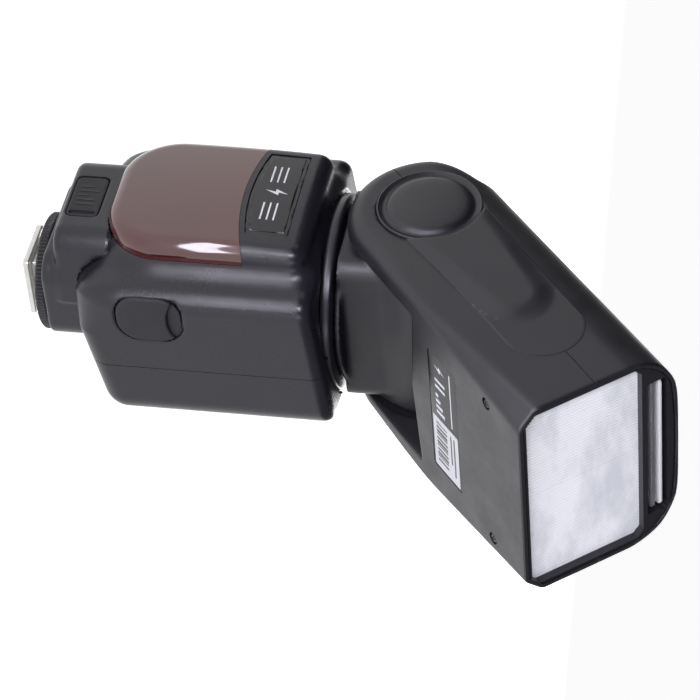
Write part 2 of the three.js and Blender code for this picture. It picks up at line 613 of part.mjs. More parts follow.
/** The raised arm on each side of the head, drawn in (x, z): it narrows towards the lens. */
function armOutline() {
  const shape = new THREE.Shape();
  const { start, end, wideStart, wideEnd } = ARM;
  shape.moveTo(-wideStart, start - 1);
  shape.quadraticCurveTo(0, start + 4.6, wideStart, start - 1);
  shape.lineTo(wideEnd, end - wideEnd);
  shape.absarc(0, end - wideEnd, wideEnd, 0, Math.PI);
  shape.closePath();
  return shape;
}

function addHeadSides() {
  for (const [side, name] of [[1, 'left'], [-1, 'right']]) {
    const span = (low, high) => (side > 0 ? [low, high] : [-high, -low]);
    const seat = HEAD.half - 0.6 + GAP;
    const cap = join(
      rodY(0, 0, CAP.rimR - GAP, ...span(seat, HEAD.half + 0.6), 32),
      rodY(0, 0, CAP.r, ...span(seat, CAP.top), 32),
    );
    const groove = cut(rodY(0, 0, CAP.grooveR, -FAR, FAR, 32), rodY(0, 0, CAP.r, -FAR - 1, FAR + 1, 32));
    add(head, `pivot_cap_${name}`, cut(cap, groove.intersect(box(-40, 40, ...span(HEAD.half, FAR), -40, 40))), LOOK.shell);
    const clear = rodY(0, 0, CAP.rimR + 0.1, -FAR, FAR, 32);
    add(head, `side_arm_${name}`, cut(
      alongY(armOutline(), ...span(ARM.low, ARM.high), { edge: 0.6, rimSteps: 2 }), clear,
    ), LOOK.shell);
    const bush = cut(
      rodY(0, 0, SHAFT.bushR, ...span(HEAD.cheekIn + 0.2, SHAFT.half - 0.2)),
      rodY(0, 0, SHAFT.r + 0.05, -FAR, FAR),
    );
    add(head, `tilt_bush_${name}`, bush, LOOK.brass);
  }
  add(head, 'label_plate', alongX(
    rect(-LABEL.half, LABEL.low, LABEL.half, LABEL.high, 0.8), HEAD.label - LABEL.thick + 0.1, HEAD.label - 0.05,
  ), LOOK.label);
}

// ---------------------------------------------------------------- head: zoom lamp
/** The trough reflector's section, drawn in (x, z): a parabola of even thickness, open to the lens. */
function troughOutline() {
  const { low, depth, halfMouth, x, thick } = REFLECTOR;
  const steps = 8;
  const curve = (width, floor) => Array.from({ length: 2 * steps + 1 }, (_, i) => {
    const across = (i - steps) / steps;
    return new THREE.Vector2(x + across * width, floor + (low + depth - floor) * across * across);
  });
  const outer = curve(halfMouth, low);
  const inner = curve(halfMouth - thick, low + thick).reverse();
  return new THREE.Shape([...outer, ...inner]);
}

function addZoomLamp() {
  const { low, thick, halfY, left, right } = CARRIAGE;
  const railHoles = [-1, 1].map((side) => rodZ(ZOOM.railX, side * ZOOM.railY, ZOOM.railR + 0.1, 0, FAR, 16));
  const lampEnds = [[-halfY, -halfY + 2], [halfY - 2, halfY]].map(([y0, y1]) =>
    box(-7, 12, y0, y1, low + thick - 0.1, low + 12));
  const screwHole = rodZ(ZOOM.x, ZOOM.y, ZOOM.screwR + 0.1, 0, FAR, 16);
  const lampZ = low + 8.6;
  const lampHole = rodY(REFLECTOR.x, lampZ, 2.4, -FAR, FAR, 16);
  const carriage = cut(
    join(box(left, right, -halfY, halfY, low, low + thick), ...lampEnds), ...railHoles, screwHole, lampHole,
  );
  add(head, 'lamp_carriage', carriage, LOOK.innerPlastic);
  add(head, 'reflector', alongY(troughOutline(), -REFLECTOR.halfLength, REFLECTOR.halfLength), LOOK.mirror);
  add(head, 'xenon_tube', rodY(REFLECTOR.x, lampZ, 2.1, -halfY + 0.1, halfY - 0.1, 16), LOOK.lens);

  const end = BEZEL.low - GAP;
  add(head, 'zoom_motor', rodZ(ZOOM.x, ZOOM.y, ZOOM.motorR, ZOOM.motorLow, ZOOM.motorHigh), LOOK.steel);
  add(head, 'lead_screw', rodZ(ZOOM.x, ZOOM.y, ZOOM.screwR, ZOOM.motorHigh + 0.2, end - 8, 16), LOOK.steel);
  for (const [side, name] of [[1, 'left'], [-1, 'right']]) {
    add(head, `guide_rod_${name}`, rodZ(ZOOM.railX, side * ZOOM.railY, ZOOM.railR, ZOOM.motorLow, end, 16), LOOK.steel);
  }
}

addShells();
addWindowAndPlate();
addShoe();
addShoeBase();
addSidePort();
addControls();
addElectronics();
addBatteries();
addBatteryDoor();
addCollar();
addNeck();
addHeadShells();
addLensAndBezel();
addSlidingCards();
addHeadSides();
addZoomLamp();

export default flash;
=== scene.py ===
"""Speedlight flash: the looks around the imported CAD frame.

Outer pieces are grown from distance fields. A field is a function of (x, y, z) in millimetres that is
negative inside the piece, so edges get true radii and joins get true fillets. Each field becomes a
smooth quad mesh, and crisp cuts such as seams are made on that mesh afterwards.
"""

import math

import bmesh
import bpy
import numpy as np
from mathutils import Matrix, Vector


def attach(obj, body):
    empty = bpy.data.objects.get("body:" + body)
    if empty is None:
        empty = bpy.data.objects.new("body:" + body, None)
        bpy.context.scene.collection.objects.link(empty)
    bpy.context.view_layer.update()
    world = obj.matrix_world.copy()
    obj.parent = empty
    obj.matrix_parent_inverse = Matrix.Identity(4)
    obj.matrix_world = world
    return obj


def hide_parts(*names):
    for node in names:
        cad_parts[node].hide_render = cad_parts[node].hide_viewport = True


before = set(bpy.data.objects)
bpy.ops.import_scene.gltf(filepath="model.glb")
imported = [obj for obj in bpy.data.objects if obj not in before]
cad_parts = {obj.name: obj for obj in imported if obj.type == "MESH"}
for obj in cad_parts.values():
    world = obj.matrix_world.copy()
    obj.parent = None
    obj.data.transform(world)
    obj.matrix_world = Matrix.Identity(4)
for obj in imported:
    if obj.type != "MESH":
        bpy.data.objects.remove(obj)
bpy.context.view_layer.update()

MM = 0.001
TILT = math.radians(50.2)  # how far over the head is tilted
AXIS_Z = 126.0  # height of the tilt axis
FAR = 120.0  # past the end of any piece, for cutters

# The body: z up, -Y the window side, +X the side with the sync port.
BODY_HALF = 36.0
BACK = 25.0  # y of the back face
SEAM = 4.0  # y of the seam between the two shells
SEAM_GAP = 0.1
SHELL = 2.2  # wall thickness
SHELF = 26.6  # how far the body's front shelf is in front of the origin
BUMP = {"half": 24.8, "low": 30.0, "high": 93.0, "front": -37.0, "round": 18.0}
WINDOW_BACK = -28.4
PLATE = {"left": -19.7, "right": 17.0, "high": 86.4, "low": 71.9}
ARC = 0.0062  # how fast the window's upper edge rises to each side
PORT_Y, PORT_Z = -15.8, 46.6
COLLAR_R = 30.0

# Controls on the back face.
KEY_X = (-17, 0, 17)
KEY_Z = 59.0
KEY_BACK = 22.6
PAD_Z = 43.0
SIDE_KEY_X = 23.5
GLASS = 24.95  # y of the display's face

# The shoe.
BASE_HALF = 22.0
BLOCK_FRONT = -31.0
POWER_FACE = -30.95
RING = {"low": 5.2, "high": 8.7, "r": 18.0, "bore": 8.8, "teeth": 96, "tooth": 0.42}
SCREW_X, SCREW_Y = 5.6, 7.4

# The head, in its own axes: z runs to the lens, +x to the label side, -x to the bounce card.
HEAD_FRONT = 90.8
HEAD_HALF = 36.0
HEAD_SHELL = 1.7
CHEEK_IN = 28.6  # |y| of the inside of each cheek
DRUM_R = 22.2
LABEL_FACE = 24.92
LENS = {"low": -15.6, "high": 22.4, "half": 33.2, "corner": 2.2, "back": 85.6, "front": 88.2}
CAP_R = 15.8
HEAD_SCREW = {"y": 27.0, "z": 73.0}


# ------------------------------------------------------------------ camera, light and floor
def make_camera():
    right = Vector((-0.1825, 0.0671, 0.9809))
    up = Vector((-0.6736, -0.7353, -0.0751))
    back = right.cross(up)
    camera = bpy.data.objects.new("camera", bpy.data.cameras.new("camera"))
    turn = Matrix((right, up, back)).transposed().to_4x4()
    camera.matrix_world = Matrix.Translation((0.7391, -0.6718, 0.2830)) @ turn
    camera.data.lens = 172.0
    camera.data.clip_start = 0.05
    camera.data.clip_end = 50
    bpy.context.scene.collection.objects.link(camera)
    bpy.context.scene.camera = camera


def area_light(name, place, target, size, power, color):
    lamp = bpy.data.lights.new(name, "AREA")
    lamp.shape = "RECTANGLE"
    lamp.size, lamp.size_y = size
    lamp.energy = power
    lamp.color = color
    obj = bpy.data.objects.new(name, lamp)
    obj.location = place
    obj.rotation_euler = (Vector(target) - Vector(place)).to_track_quat("-Z", "Y").to_euler()
    bpy.context.scene.collection.objects.link(obj)
    return obj


def make_world():
    """White behind the object as the main view sees it, dimmer elsewhere, and dark above the window side."""
    world = bpy.data.worlds.new("studio")
    bpy.context.scene.world = world
    world.use_nodes = True
    tree = world.node_tree
    direction = tree.nodes.new("ShaderNodeTexCoord").outputs["Generated"]

    def toward(axis, start, end, low, high):
        dot = tree.nodes.new("ShaderNodeVectorMath")
        dot.operation = "DOT_PRODUCT"
        dot.inputs[1].default_value = Vector(axis).normalized()
        tree.links.new(direction, dot.inputs[0])
        ramp = tree.nodes.new("ShaderNodeMapRange")
        ramp.interpolation_type = "SMOOTHSTEP"
        for key, value in (("From Min", start), ("From Max", end), ("To Min", low), ("To Max", high)):
            ramp.inputs[key].default_value = value
        tree.links.new(dot.outputs["Value"], ramp.inputs["Value"])
        return ramp.outputs["Result"]

    def add(a, b):
        node = tree.nodes.new("ShaderNodeMath")
        tree.links.new(a, node.inputs[0])
        tree.links.new(b, node.inputs[1])
        return node.outputs["Value"]

    backdrop = toward((-0.73, 0.66, -0.1), 0.8, 0.93, 0.0, 0.86)
    room = toward((0.4, 0.8, -0.2), -0.75, 1.0, 0.02, 0.24)
    background = tree.nodes["Background"]
    background.inputs["Color"].default_value = (0.97, 0.965, 1.0, 1)
    tree.links.new(add(backdrop, room), background.inputs["Strength"])


def make_studio():
    bpy.context.scene.view_settings.view_transform = "Standard"
    make_world()
    middle = (0.02, 0, 0.12)
    area_light("front", (0.85, -0.95, 0.05), middle, (0.16, 0.9), 16, (0.88, 0.86, 1.0))
    area_light("side", (1.25, 0.1, 0.12), middle, (0.25, 0.8), 2.6, (0.82, 0.8, 1.0))
    area_light("top", (-0.5, -1.1, 0.35), middle, (0.3, 0.5), 0.5, (1.0, 1.0, 1.0))
    area_light("back", (-0.9, 1.1, 0.6), middle, (0.6, 0.8), 9, (1.0, 1.0, 1.0))
    low = area_light("low", (0.2, -0.225, 0.005), (0.2, -0.225, 1), (0.1, 0.34), 1.3, (0.9, 0.88, 1.0))
    low.rotation_euler = (math.pi, 0, math.atan2(0.225, 0.2) + math.pi / 2)
    low.visible_camera = False

    material = bpy.data.materials.new("floor_white")
    material.use_nodes = True
    shader = material.node_tree.nodes["Principled BSDF"]
    shader.inputs["Base Color"].default_value = (0.9, 0.9, 0.9, 1)
    shader.inputs["Roughness"].default_value = 0.9
    shader.inputs["Emission Color"].default_value = (1, 1, 1, 1)
    shader.inputs["Emission Strength"].default_value = 0.85
    floor = make_mesh("floor", [(-6, -6, 0), (6, -6, 0), (6, 6, 0), (-6, 6, 0)], [(0, 1, 2, 3)])
    floor.data.materials.append(material)


# ------------------------------------------------------------------ mesh from fields
def make_mesh(name, points, faces):
    mesh = bpy.data.meshes.new(name)
    mesh.from_pydata([tuple(p) for p in points], [], [tuple(f) for f in faces])
    mesh.update()
    obj = bpy.data.objects.new(name, mesh)
    bpy.context.scene.collection.objects.link(obj)
    return obj


def both(a, b, r=0.0):
    """Where a and b overlap, with the edge between them rounded to radius r."""
    if np.isscalar(r) and r == 0:
        return np.maximum(a, b)
    return np.minimum(-r, np.maximum(a, b)) + np.hypot(np.maximum(r + a, 0), np.maximum(r + b, 0))


def either(a, b, r=0.0):
    """a joined to b, with a fillet of radius r in the corner between them."""
    if np.isscalar(r) and r == 0:
        return np.minimum(a, b)
    return np.maximum(r, np.minimum(a, b)) - np.hypot(np.maximum(r - a, 0), np.maximum(r - b, 0))


def less(a, b, r=0.0):
    """a without b."""
    return both(a, -b, r)


def span(value, low, high):
    return np.maximum(low - value, value - high)


def slab2(u, v, u0, u1, v0, v1, r=0.0):
    return both(span(u, u0, u1), span(v, v0, v1), r)


def disc(u, v, r):
    return np.hypot(u, v) - r


def mesh_from_field(name, field, low, high, cell):
    """A quad mesh of the surface field = 0: one vertex in each cell that the surface crosses."""
    axes = [np.arange(low[i] - 1.5 * cell, high[i] + 2 * cell, cell) for i in range(3)]
    x, y, z = np.meshgrid(*axes, indexing="ij", sparse=True)
    value = np.broadcast_to(field(x, y, z), tuple(len(a) for a in axes)).astype(np.float32)
    inside = value < 0
    cells = tuple(n - 1 for n in value.shape)
    total = np.zeros(cells + (3,), np.float32)
    count = np.zeros(cells, np.int16)
    for axis in range(3):
        first = [slice(None)] * 3
        second = [slice(None)] * 3
        first[axis], second[axis] = slice(0, -1), slice(1, None)
        a, b = value[tuple(first)], value[tuple(second)]
        crossed = (a < 0) != (b < 0)
        t = np.where(crossed, a / np.where(crossed, a - b, 1), 0)
        others = [i for i in range(3) if i != axis]
        for du in (0, 1):
            for dv in (0, 1):
                part = [slice(None)] * 3
                part[others[0]] = slice(du, du + cells[others[0]])
                part[others[1]] = slice(dv, dv + cells[others[1]])
                here = crossed[tuple(part)]
                count += here
                total[..., axis] += np.where(here, t[tuple(part)], 0)
                total[..., others[0]] += here * du
                total[..., others[1]] += here * dv
    used = count > 0
    index = np.full(cells, -1, np.int64)
    index[used] = np.arange(used.sum())
    where = np.argwhere(used)
    points = where + total[used] / count[used][:, None]
    points = points * cell + np.array([a[0] for a in axes])
    points = settle(points, field, cell)

    quads = []
    for axis in range(3):
        u, v = [(1, 2), (2, 0), (0, 1)][axis]
        first = [slice(1, -1)] * 3
        second = [slice(1, -1)] * 3
        first[axis], second[axis] = slice(0, -1), slice(1, None)
        a, b = inside[tuple(first)], inside[tuple(second)]
        for sign in (True, False):
            spots = np.argwhere((a != b) & (a == sign))
            spots = spots + np.array([0 if i == axis else 1 for i in range(3)])
            corners = []
            for du, dv in ((0, 0), (-1, 0), (-1, -1), (0, -1)):
                spot = spots.copy()
                spot[:, u] += du
                spot[:, v] += dv
                corners.append(index[tuple(spot.T)])
            quad = np.stack(corners, 1)
            quads.append(quad if sign else quad[:, ::-1])
    faces = np.concatenate(quads)
    obj = mesh_of_quads(name, points * MM, faces)
    return obj


def mesh_of_quads(name, points, faces):
    mesh = bpy.data.meshes.new(name)
    mesh.vertices.add(len(points))
    mesh.vertices.foreach_set("co", points.astype(np.float32).ravel())
    mesh.loops.add(faces.size)
    mesh.loops.foreach_set("vertex_index", faces.ravel().astype(np.int32))
    mesh.polygons.add(len(faces))
    mesh.polygons.foreach_set("loop_start", np.arange(0, faces.size, 4, dtype=np.int32))
    mesh.update(calc_edges=True)
    mesh.validate()
    obj = bpy.data.objects.new(name, mesh)
    bpy.context.scene.collection.objects.link(obj)
    return obj


def settle(points, field, cell, rounds=4):
    """Moves points along the field's slope until they lie on its surface."""
    points = points.astype(np.float64)
    e = 0.05
    for _ in range(rounds):
        x, y, z = points.T
        here = field(x, y, z)
        slope = np.stack([
            field(x + e, y, z) - field(x - e, y, z),
            field(x, y + e, z) - field(x, y - e, z),
            field(x, y, z + e) - field(x, y, z - e),
        ], 1) / (2 * e)
        size = np.maximum((slope ** 2).sum(1), 0.25)
        step = slope * (here / size)[:, None]
        length = np.linalg.norm(step, axis=1)
        limit = 0.5 * cell
        step *= np.minimum(1, limit / np.maximum(length, 1e-9))[:, None]
        points -= step
    return points


def smooth(obj, degrees=32):
    obj.data.shade_smooth()
    obj.data.set_sharp_from_angle(angle=math.radians(degrees))
    return obj


def cut_with(obj, cutter, operation="DIFFERENCE"):
    """A crisp boolean on the finished mesh; the cutter is used up."""
    change = obj.modifiers.new("cut", "BOOLEAN")
    change.operation = operation
    change.solver = "EXACT"
    change.object = cutter
    apply_modifiers(obj)
    bpy.data.objects.remove(cutter)
    return obj


def apply_modifiers(obj):
    graph = bpy.context.evaluated_depsgraph_get()
    mesh = bpy.data.meshes.new_from_object(obj.evaluated_get(graph), depsgraph=graph)
    obj.modifiers.clear()
    old = obj.data
    obj.data = mesh
    bpy.data.meshes.remove(old)


def cutter_box(low, high):
    ends = list(zip(low, high))
    corners = [(x * MM, y * MM, z * MM) for x in ends[0] for y in ends[1] for z in ends[2]]
    faces = [(0, 1, 3, 2), (4, 6, 7, 5), (0, 4, 5, 1), (2, 3, 7, 6), (0, 2, 6, 4), (1, 5, 7, 3)]
    return make_mesh("cutter", corners, faces)


AXES = {"x": lambda a, b, h: (h, a, b), "y": lambda a, b, h: (a, h, b), "z": lambda a, b, h: (a, b, h)}


def cutter_prism(outline, axis, start, end):
    """A prism of a 2D outline along an axis; the outline is in the other two axes, in order."""
    n = len(outline)
    points = []
    for depth in (start, end):
        points += [tuple(MM * c for c in AXES[axis](a, b, depth)) for a, b in outline]
    faces = [tuple(range(n)), tuple(range(2 * n - 1, n - 1, -1))]
    faces += [(i, i + n, (i + 1) % n + n, (i + 1) % n) for i in range(n)]
    return face_outward(make_mesh("cutter", points, faces))


def round_rect(u0, v0, u1, v1, r, steps=6):
    """Corner points of a rounded rectangle."""
    points = []
    for cu, cv, turn in ((u1 - r, v1 - r, 0), (u0 + r, v1 - r, 1), (u0 + r, v0 + r, 2), (u1 - r, v0 + r, 3)):
        for k in range(steps + 1):
            angle = (turn + k / steps) * math.pi / 2
            points.append((cu + r * math.cos(angle), cv + r * math.sin(angle)))
    return points


def circle(u, v, r, steps=48):
    angles = [2 * math.pi * k / steps for k in range(steps)]
    return [(u + r * math.cos(angle), v + r * math.sin(angle)) for angle in angles]


def plate_piece(name, outline, axis, start, end, edge=0.3):
    """A prism of a 2D outline with rounded rims."""
    obj = cutter_prism(outline, axis, start, end)
    obj.name = name
    change = obj.modifiers.new("rim", "BEVEL")
    change.width = edge * MM
    change.segments = 3
    change.limit_method = "ANGLE"
    change.angle_limit = math.radians(50)
    apply_modifiers(obj)
    return obj


def lathe(name, profile, axis="z", center=(0, 0, 0), segments=96, teeth=0, tooth_depth=0.0, tooth_from=0.0):
    """A turned piece: profile is (radius, height) points, from axis to axis or as a closed loop.

    Teeth are cut into every part of the rim outside the radius tooth_from.
    """
    points, rings = [], []
    for radius, height in profile:
        ring = []
        for k in range(1 if radius < 1e-6 else segments):
            angle = 2 * math.pi * k / segments
            here = radius
            if teeth and radius > tooth_from:
                here -= tooth_depth * max(0.0, math.cos(teeth * angle)) ** 0.6
            spot = AXES[axis](here * math.cos(angle), here * math.sin(angle), height)
            ring.append(len(points))
            points.append(tuple(MM * (c + o) for c, o in zip(spot, center)))
        rings.append(ring)
    pairs = list(zip(rings, rings[1:]))
    if len(rings[0]) > 1:
        pairs.append((rings[-1], rings[0]))
    faces = []
    for a, b in pairs:
        for k in range(segments):
            n = (k + 1) % segments
            corners = [a[k % len(a)], a[n % len(a)], b[n % len(b)], b[k % len(b)]]
            faces.append(tuple(dict.fromkeys(corners)))
    obj = make_mesh(name, points, faces)
    return face_outward(obj)


def face_outward(obj):
    work = bmesh.new()
    work.from_mesh(obj.data)
    bmesh.ops.recalc_face_normals(work, faces=work.faces)
    work.to_mesh(obj.data)
    work.free()
    return obj


def marks(name, outlines, surface, look, body, height=0.07, head=False):
    """Thin printed shapes: surface(u, v, h) gives the place of a point h above the face that carries them."""
    points, faces = [], []
    for outline in outlines:
        n, base = len(outline), len(points)
        for h in (-0.2, height):
            points += [tuple(MM * c for c in surface(u, v, h)) for u, v in outline]
        faces += [tuple(range(base, base + n)), tuple(range(base + 2 * n - 1, base + n - 1, -1))]
        faces += [(base + i, base + n + i, base + n + (i + 1) % n, base + (i + 1) % n) for i in range(n)]
    obj = face_outward(make_mesh(name, points, faces))
    if head:
        into_head(obj)
    return finish_piece(obj, look, body, sharp=30)


def bar(u0, v0, u1, v1):
    return [(u0, v0), (u1, v0), (u1, v1), (u0, v1)]


def bolt(u, v, size):
    shape = [(0.2, 1), (-0.4, -0.1), (-0.02, -0.1), (-0.2, -1), (0.4, 0.18), (0.04, 0.18)]
    return [(u + size * a, v + size * b) for a, b in shape]


def arrow(u, v, size, turn=0.0):
    cos, sin = size * math.cos(turn), size * math.sin(turn)
    corners = ((0, 1), (-0.85, -0.5), (0.85, -0.5))
    return [(u + a * cos - b * sin, v + a * sin + b * cos) for a, b in corners]


def text_like(u, v, widths, height, gap):
    """A row of plain blocks, where small print would be."""
    row = []
    for width in widths:
        row.append(bar(u, v, u + width, v + height))
        u += width + gap
    return row


def screw(name, place, direction, r, body, head=False):
    """A pan-head screw with a cross recess, facing along direction."""
    head_profile = ((0, 0.34), (0.4, 0.31), (0.75, 0.2), (0.95, 0.03), (1, -0.12), (1, -0.5), (0, -0.5))
    obj = lathe(name, [(r * a, r * b) for a, b in head_profile], segments=40)
    wide, thin, deep = 0.62 * r, 0.11 * r, 0.1 * r
    cut_with(obj, cutter_box((-wide, -thin, -deep), (wide, thin, r)))
    cut_with(obj, cutter_box((-thin, -wide, -deep), (thin, wide, r)))
    turn = Vector(direction).to_track_quat("Z", "Y").to_matrix().to_4x4()
    obj.data.transform(Matrix.Translation(Vector(place) * MM) @ turn)
    if head:
        into_head(obj)
    return finish_piece(obj, "screw", body)


# ------------------------------------------------------------------ materials
def new_material(name, color, roughness, metallic=0.0, coat=0.0, alpha=1.0):
    material = bpy.data.materials.new(name)
    material.use_nodes = True
    shader = material.node_tree.nodes["Principled BSDF"]
    shader.inputs["Base Color"].default_value = (*color, 1)
    shader.inputs["Roughness"].default_value = roughness
    shader.inputs["Metallic"].default_value = metallic
    shader.inputs["Coat Weight"].default_value = coat
    shader.inputs["Coat Roughness"].default_value = 0.08
    shader.inputs["Alpha"].default_value = alpha
    return material, material.node_tree, shader


def noise(tree, scale, detail=3.0, stretch=(1, 1, 1), roughness=0.55):
    place = tree.nodes.new("ShaderNodeTexCoord")
    mapping = tree.nodes.new("ShaderNodeMapping")
    mapping.inputs["Scale"].default_value = stretch
    texture = tree.nodes.new("ShaderNodeTexNoise")
    texture.inputs["Scale"].default_value = scale
    texture.inputs["Detail"].default_value = detail
    texture.inputs["Roughness"].default_value = roughness
    tree.links.new(place.outputs["Object"], mapping.inputs["Vector"])
    tree.links.new(mapping.outputs["Vector"], texture.inputs["Vector"])
    return texture.outputs["Fac"]


def remap(tree, value, low, high, start=0.0, end=1.0):
    node = tree.nodes.new("ShaderNodeMapRange")
    node.inputs["From Min"].default_value = start
    node.inputs["From Max"].default_value = end
    node.inputs["To Min"].default_value = low
    node.inputs["To Max"].default_value = high
    tree.links.new(value, node.inputs["Value"])
    return node.outputs["Result"]


def mix_colors(tree, factor, first, second):
    node = tree.nodes.new("ShaderNodeMix")
    node.data_type = "RGBA"
    tree.links.new(factor, node.inputs["Factor"])
    for socket, value in ((6, first), (7, second)):
        if isinstance(value, tuple):
            node.inputs[socket].default_value = (*value, 1)
        else:
            tree.links.new(value, node.inputs[socket])
    return node.outputs[2]


def bump(tree, shader, layers):
    """Stacks bump layers of (height socket, strength, distance in metres)."""
    normal = None
    for height, strength, distance in layers:
        node = tree.nodes.new("ShaderNodeBump")
        node.inputs["Strength"].default_value = strength
        node.inputs["Distance"].default_value = distance
        tree.links.new(height, node.inputs["Height"])
        if normal is not None:
            tree.links.new(normal, node.inputs["Normal"])
        normal = node.outputs["Normal"]
    tree.links.new(normal, shader.inputs["Normal"])


def edge_wear(tree, low=0.54, high=0.62):
    """0 on open faces, rising to 1 on outward edges."""
    geometry = tree.nodes.new("ShaderNodeNewGeometry")
    return remap(tree, geometry.outputs["Pointiness"], 0.0, 1.0, low, high)


def plastic(name, color, worn, roughness, grain=2600.0, grain_depth=0.00006):
    """Moulded plastic: fine spark grain, slow mottling, handled patches and lighter edges."""
    material, tree, shader = new_material(name, color, roughness)
    patches = noise(tree, 45, 4)
    mottled = mix_colors(tree, remap(tree, patches, 0, 1, 0.35, 0.7), color, tuple(1.22 * c for c in color))
    tree.links.new(mix_colors(tree, edge_wear(tree), mottled, worn), shader.inputs["Base Color"])
    smudges = noise(tree, 90, 5, roughness=0.65)
    sheen = remap(tree, smudges, roughness - 0.06, roughness + 0.07, 0.3, 0.7)
    tree.links.new(sheen, shader.inputs["Roughness"])
    bump(tree, shader, [
        (noise(tree, grain, 2), 0.35, grain_depth),
        (noise(tree, 700, 2), 0.12, 0.0001),
    ])
    return material


def window_material():
    material, tree, shader = new_material("window_red", (0.04, 0.009, 0.007), 0.06, coat=1.0)
    shader.inputs["Coat Roughness"].default_value = 0.03
    tone = mix_colors(tree, noise(tree, 30, 2), (0.045, 0.006, 0.005), (0.07, 0.011, 0.009))
    tree.links.new(tone, shader.inputs["Base Color"])
    tree.links.new(remap(tree, noise(tree, 160, 4), 0.05, 0.11, 0.3, 0.7), shader.inputs["Roughness"])
    bump(tree, shader, [(noise(tree, 60, 1), 0.02, 0.0005)])
    return material


def metal(name, color, roughness, stretch=(1, 1, 40)):
    material, tree, shader = new_material(name, color, roughness, metallic=1.0)
    brushed = noise(tree, 300, 3, stretch)
    tone = mix_colors(tree, brushed, color, tuple(0.82 * c for c in color))
    tree.links.new(tone, shader.inputs["Base Color"])
    tree.links.new(remap(tree, brushed, roughness - 0.06, roughness + 0.1), shader.inputs["Roughness"])
    bump(tree, shader, [(brushed, 0.12, 0.00005)])
    return material


def lens_material():
    """Prismatic flash lens, cloudy in tone; its brightness is a painted glow, standing in for light from the
    reflector behind it.
    """
    material, tree, shader = new_material("lens_clear", (0.9, 0.92, 0.95), 0.16, coat=0.6)
    clouds = noise(tree, 55, 5, (1, 0.5, 1.4), 0.6)
    tone = mix_colors(tree, remap(tree, clouds, 0, 1, 0.36, 0.56), (0.66, 0.68, 0.72), (0.98, 0.985, 1.0))
    tree.links.new(tone, shader.inputs["Base Color"])
    shader.inputs["Transmission Weight"].default_value = 0.15
    # Painted glow: the lens emits a little light of its own so that it reads bright, though it is no lamp.
    shader.inputs["Emission Color"].default_value = (0.95, 0.97, 1.0, 1)
    shader.inputs["Emission Strength"].default_value = 0.18
    bump(tree, shader, [(noise(tree, 900, 2), 0.15, 0.0001)])
    return material


def clear_material():
    material, tree, shader = new_material("panel_clear", (0.93, 0.95, 0.97), 0.08, coat=0.4)
    shader.inputs["Transmission Weight"].default_value = 0.85
    tree.links.new(remap(tree, noise(tree, 200, 3), 0.06, 0.14), shader.inputs["Roughness"])
    bump(tree, shader, [(noise(tree, 500, 1), 0.05, 0.0001)])
    return material


def mirror_material():
    material, tree, shader = new_material("reflector", (0.9, 0.9, 0.9), 0.06, metallic=1.0)
    tree.links.new(remap(tree, noise(tree, 150, 3), 0.04, 0.12), shader.inputs["Roughness"])
    bump(tree, shader, [(noise(tree, 400, 1), 0.04, 0.0001)])
    return material


def card_material(name, color):
    material, tree, shader = new_material(name, color, 0.55)
    paper = noise(tree, 400, 3)
    tone = mix_colors(tree, paper, color, tuple(0.93 * c for c in color))
    tree.links.new(tone, shader.inputs["Base Color"])
    tree.links.new(remap(tree, paper, 0.5, 0.62), shader.inputs["Roughness"])
    bump(tree, shader, [(noise(tree, 1500, 2), 0.1, 0.00005)])
    return material


def make_materials():
    shell = (0.0108, 0.0102, 0.0145)
    worn = (0.036, 0.034, 0.041)
    return {
        "shell": plastic("shell_black", shell, worn, 0.29),
        "head_shell": plastic("shell_black_head", (0.0098, 0.0095, 0.012), worn, 0.4),
        "rubber": plastic("rubber_black", (0.013, 0.0125, 0.0145), (0.03, 0.03, 0.033), 0.62, 1500, 0.00008),
        "ring": plastic("ring_black", (0.012, 0.012, 0.013), worn, 0.5),
        "gloss": plastic("plate_black", (0.010, 0.010, 0.011), (0.02, 0.02, 0.02), 0.22, 900, 0.00001),
        "inner": plastic("inner_plastic", (0.05, 0.05, 0.055), (0.08, 0.08, 0.08), 0.55),
        "window": window_material(),
        "lens": lens_material(),
        "clear": clear_material(),
        "mirror": mirror_material(),
        "steel": metal("steel", (0.74, 0.73, 0.7), 0.28),
        "screw": metal("screw_black", (0.09, 0.09, 0.1), 0.35, (1, 1, 2)),
        "brass": metal("brass", (0.72, 0.55, 0.27), 0.3, (1, 1, 6)),
        "copper": metal("copper", (0.62, 0.3, 0.15), 0.4, (1, 1, 60)),
        "cell": metal("cell_wrap", (0.42, 0.44, 0.48), 0.35, (1, 1, 0.5)),
        "white": card_material("card_white", (0.86, 0.86, 0.84)),
        "print": card_material("print_pale", (0.62, 0.62, 0.64)),
        "board": card_material("board_green", (0.02, 0.11, 0.045)),
        "sleeve": plastic("sleeve_dark", (0.02, 0.025, 0.035), (0.05, 0.05, 0.06), 0.3),
        "segment": plastic("segment_dark", (0.012, 0.014, 0.014), (0.02, 0.02, 0.02), 0.3, 600, 0.00001),
        "screen": plastic("screen", (0.11, 0.125, 0.115), (0.04, 0.04, 0.04), 0.12, 600, 0.00001),
        "label": card_material("label_silver", (0.46, 0.47, 0.49)),
    }


LOOK = make_materials()


def finish_piece(obj, look, body, nodes=(), sharp=32):
    smooth(obj, sharp)
    obj.data.materials.clear()
    obj.data.materials.append(LOOK[look])
    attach(obj, body)
    if nodes:
        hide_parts(*nodes)
    return obj


def into_head(obj):
    """From the head's own axes into the row frame."""
    to_metres = Matrix.Translation((0, 0, AXIS_Z * MM)) @ Matrix.Rotation(TILT, 4, "Y")
    obj.data.transform(to_metres)
    return obj


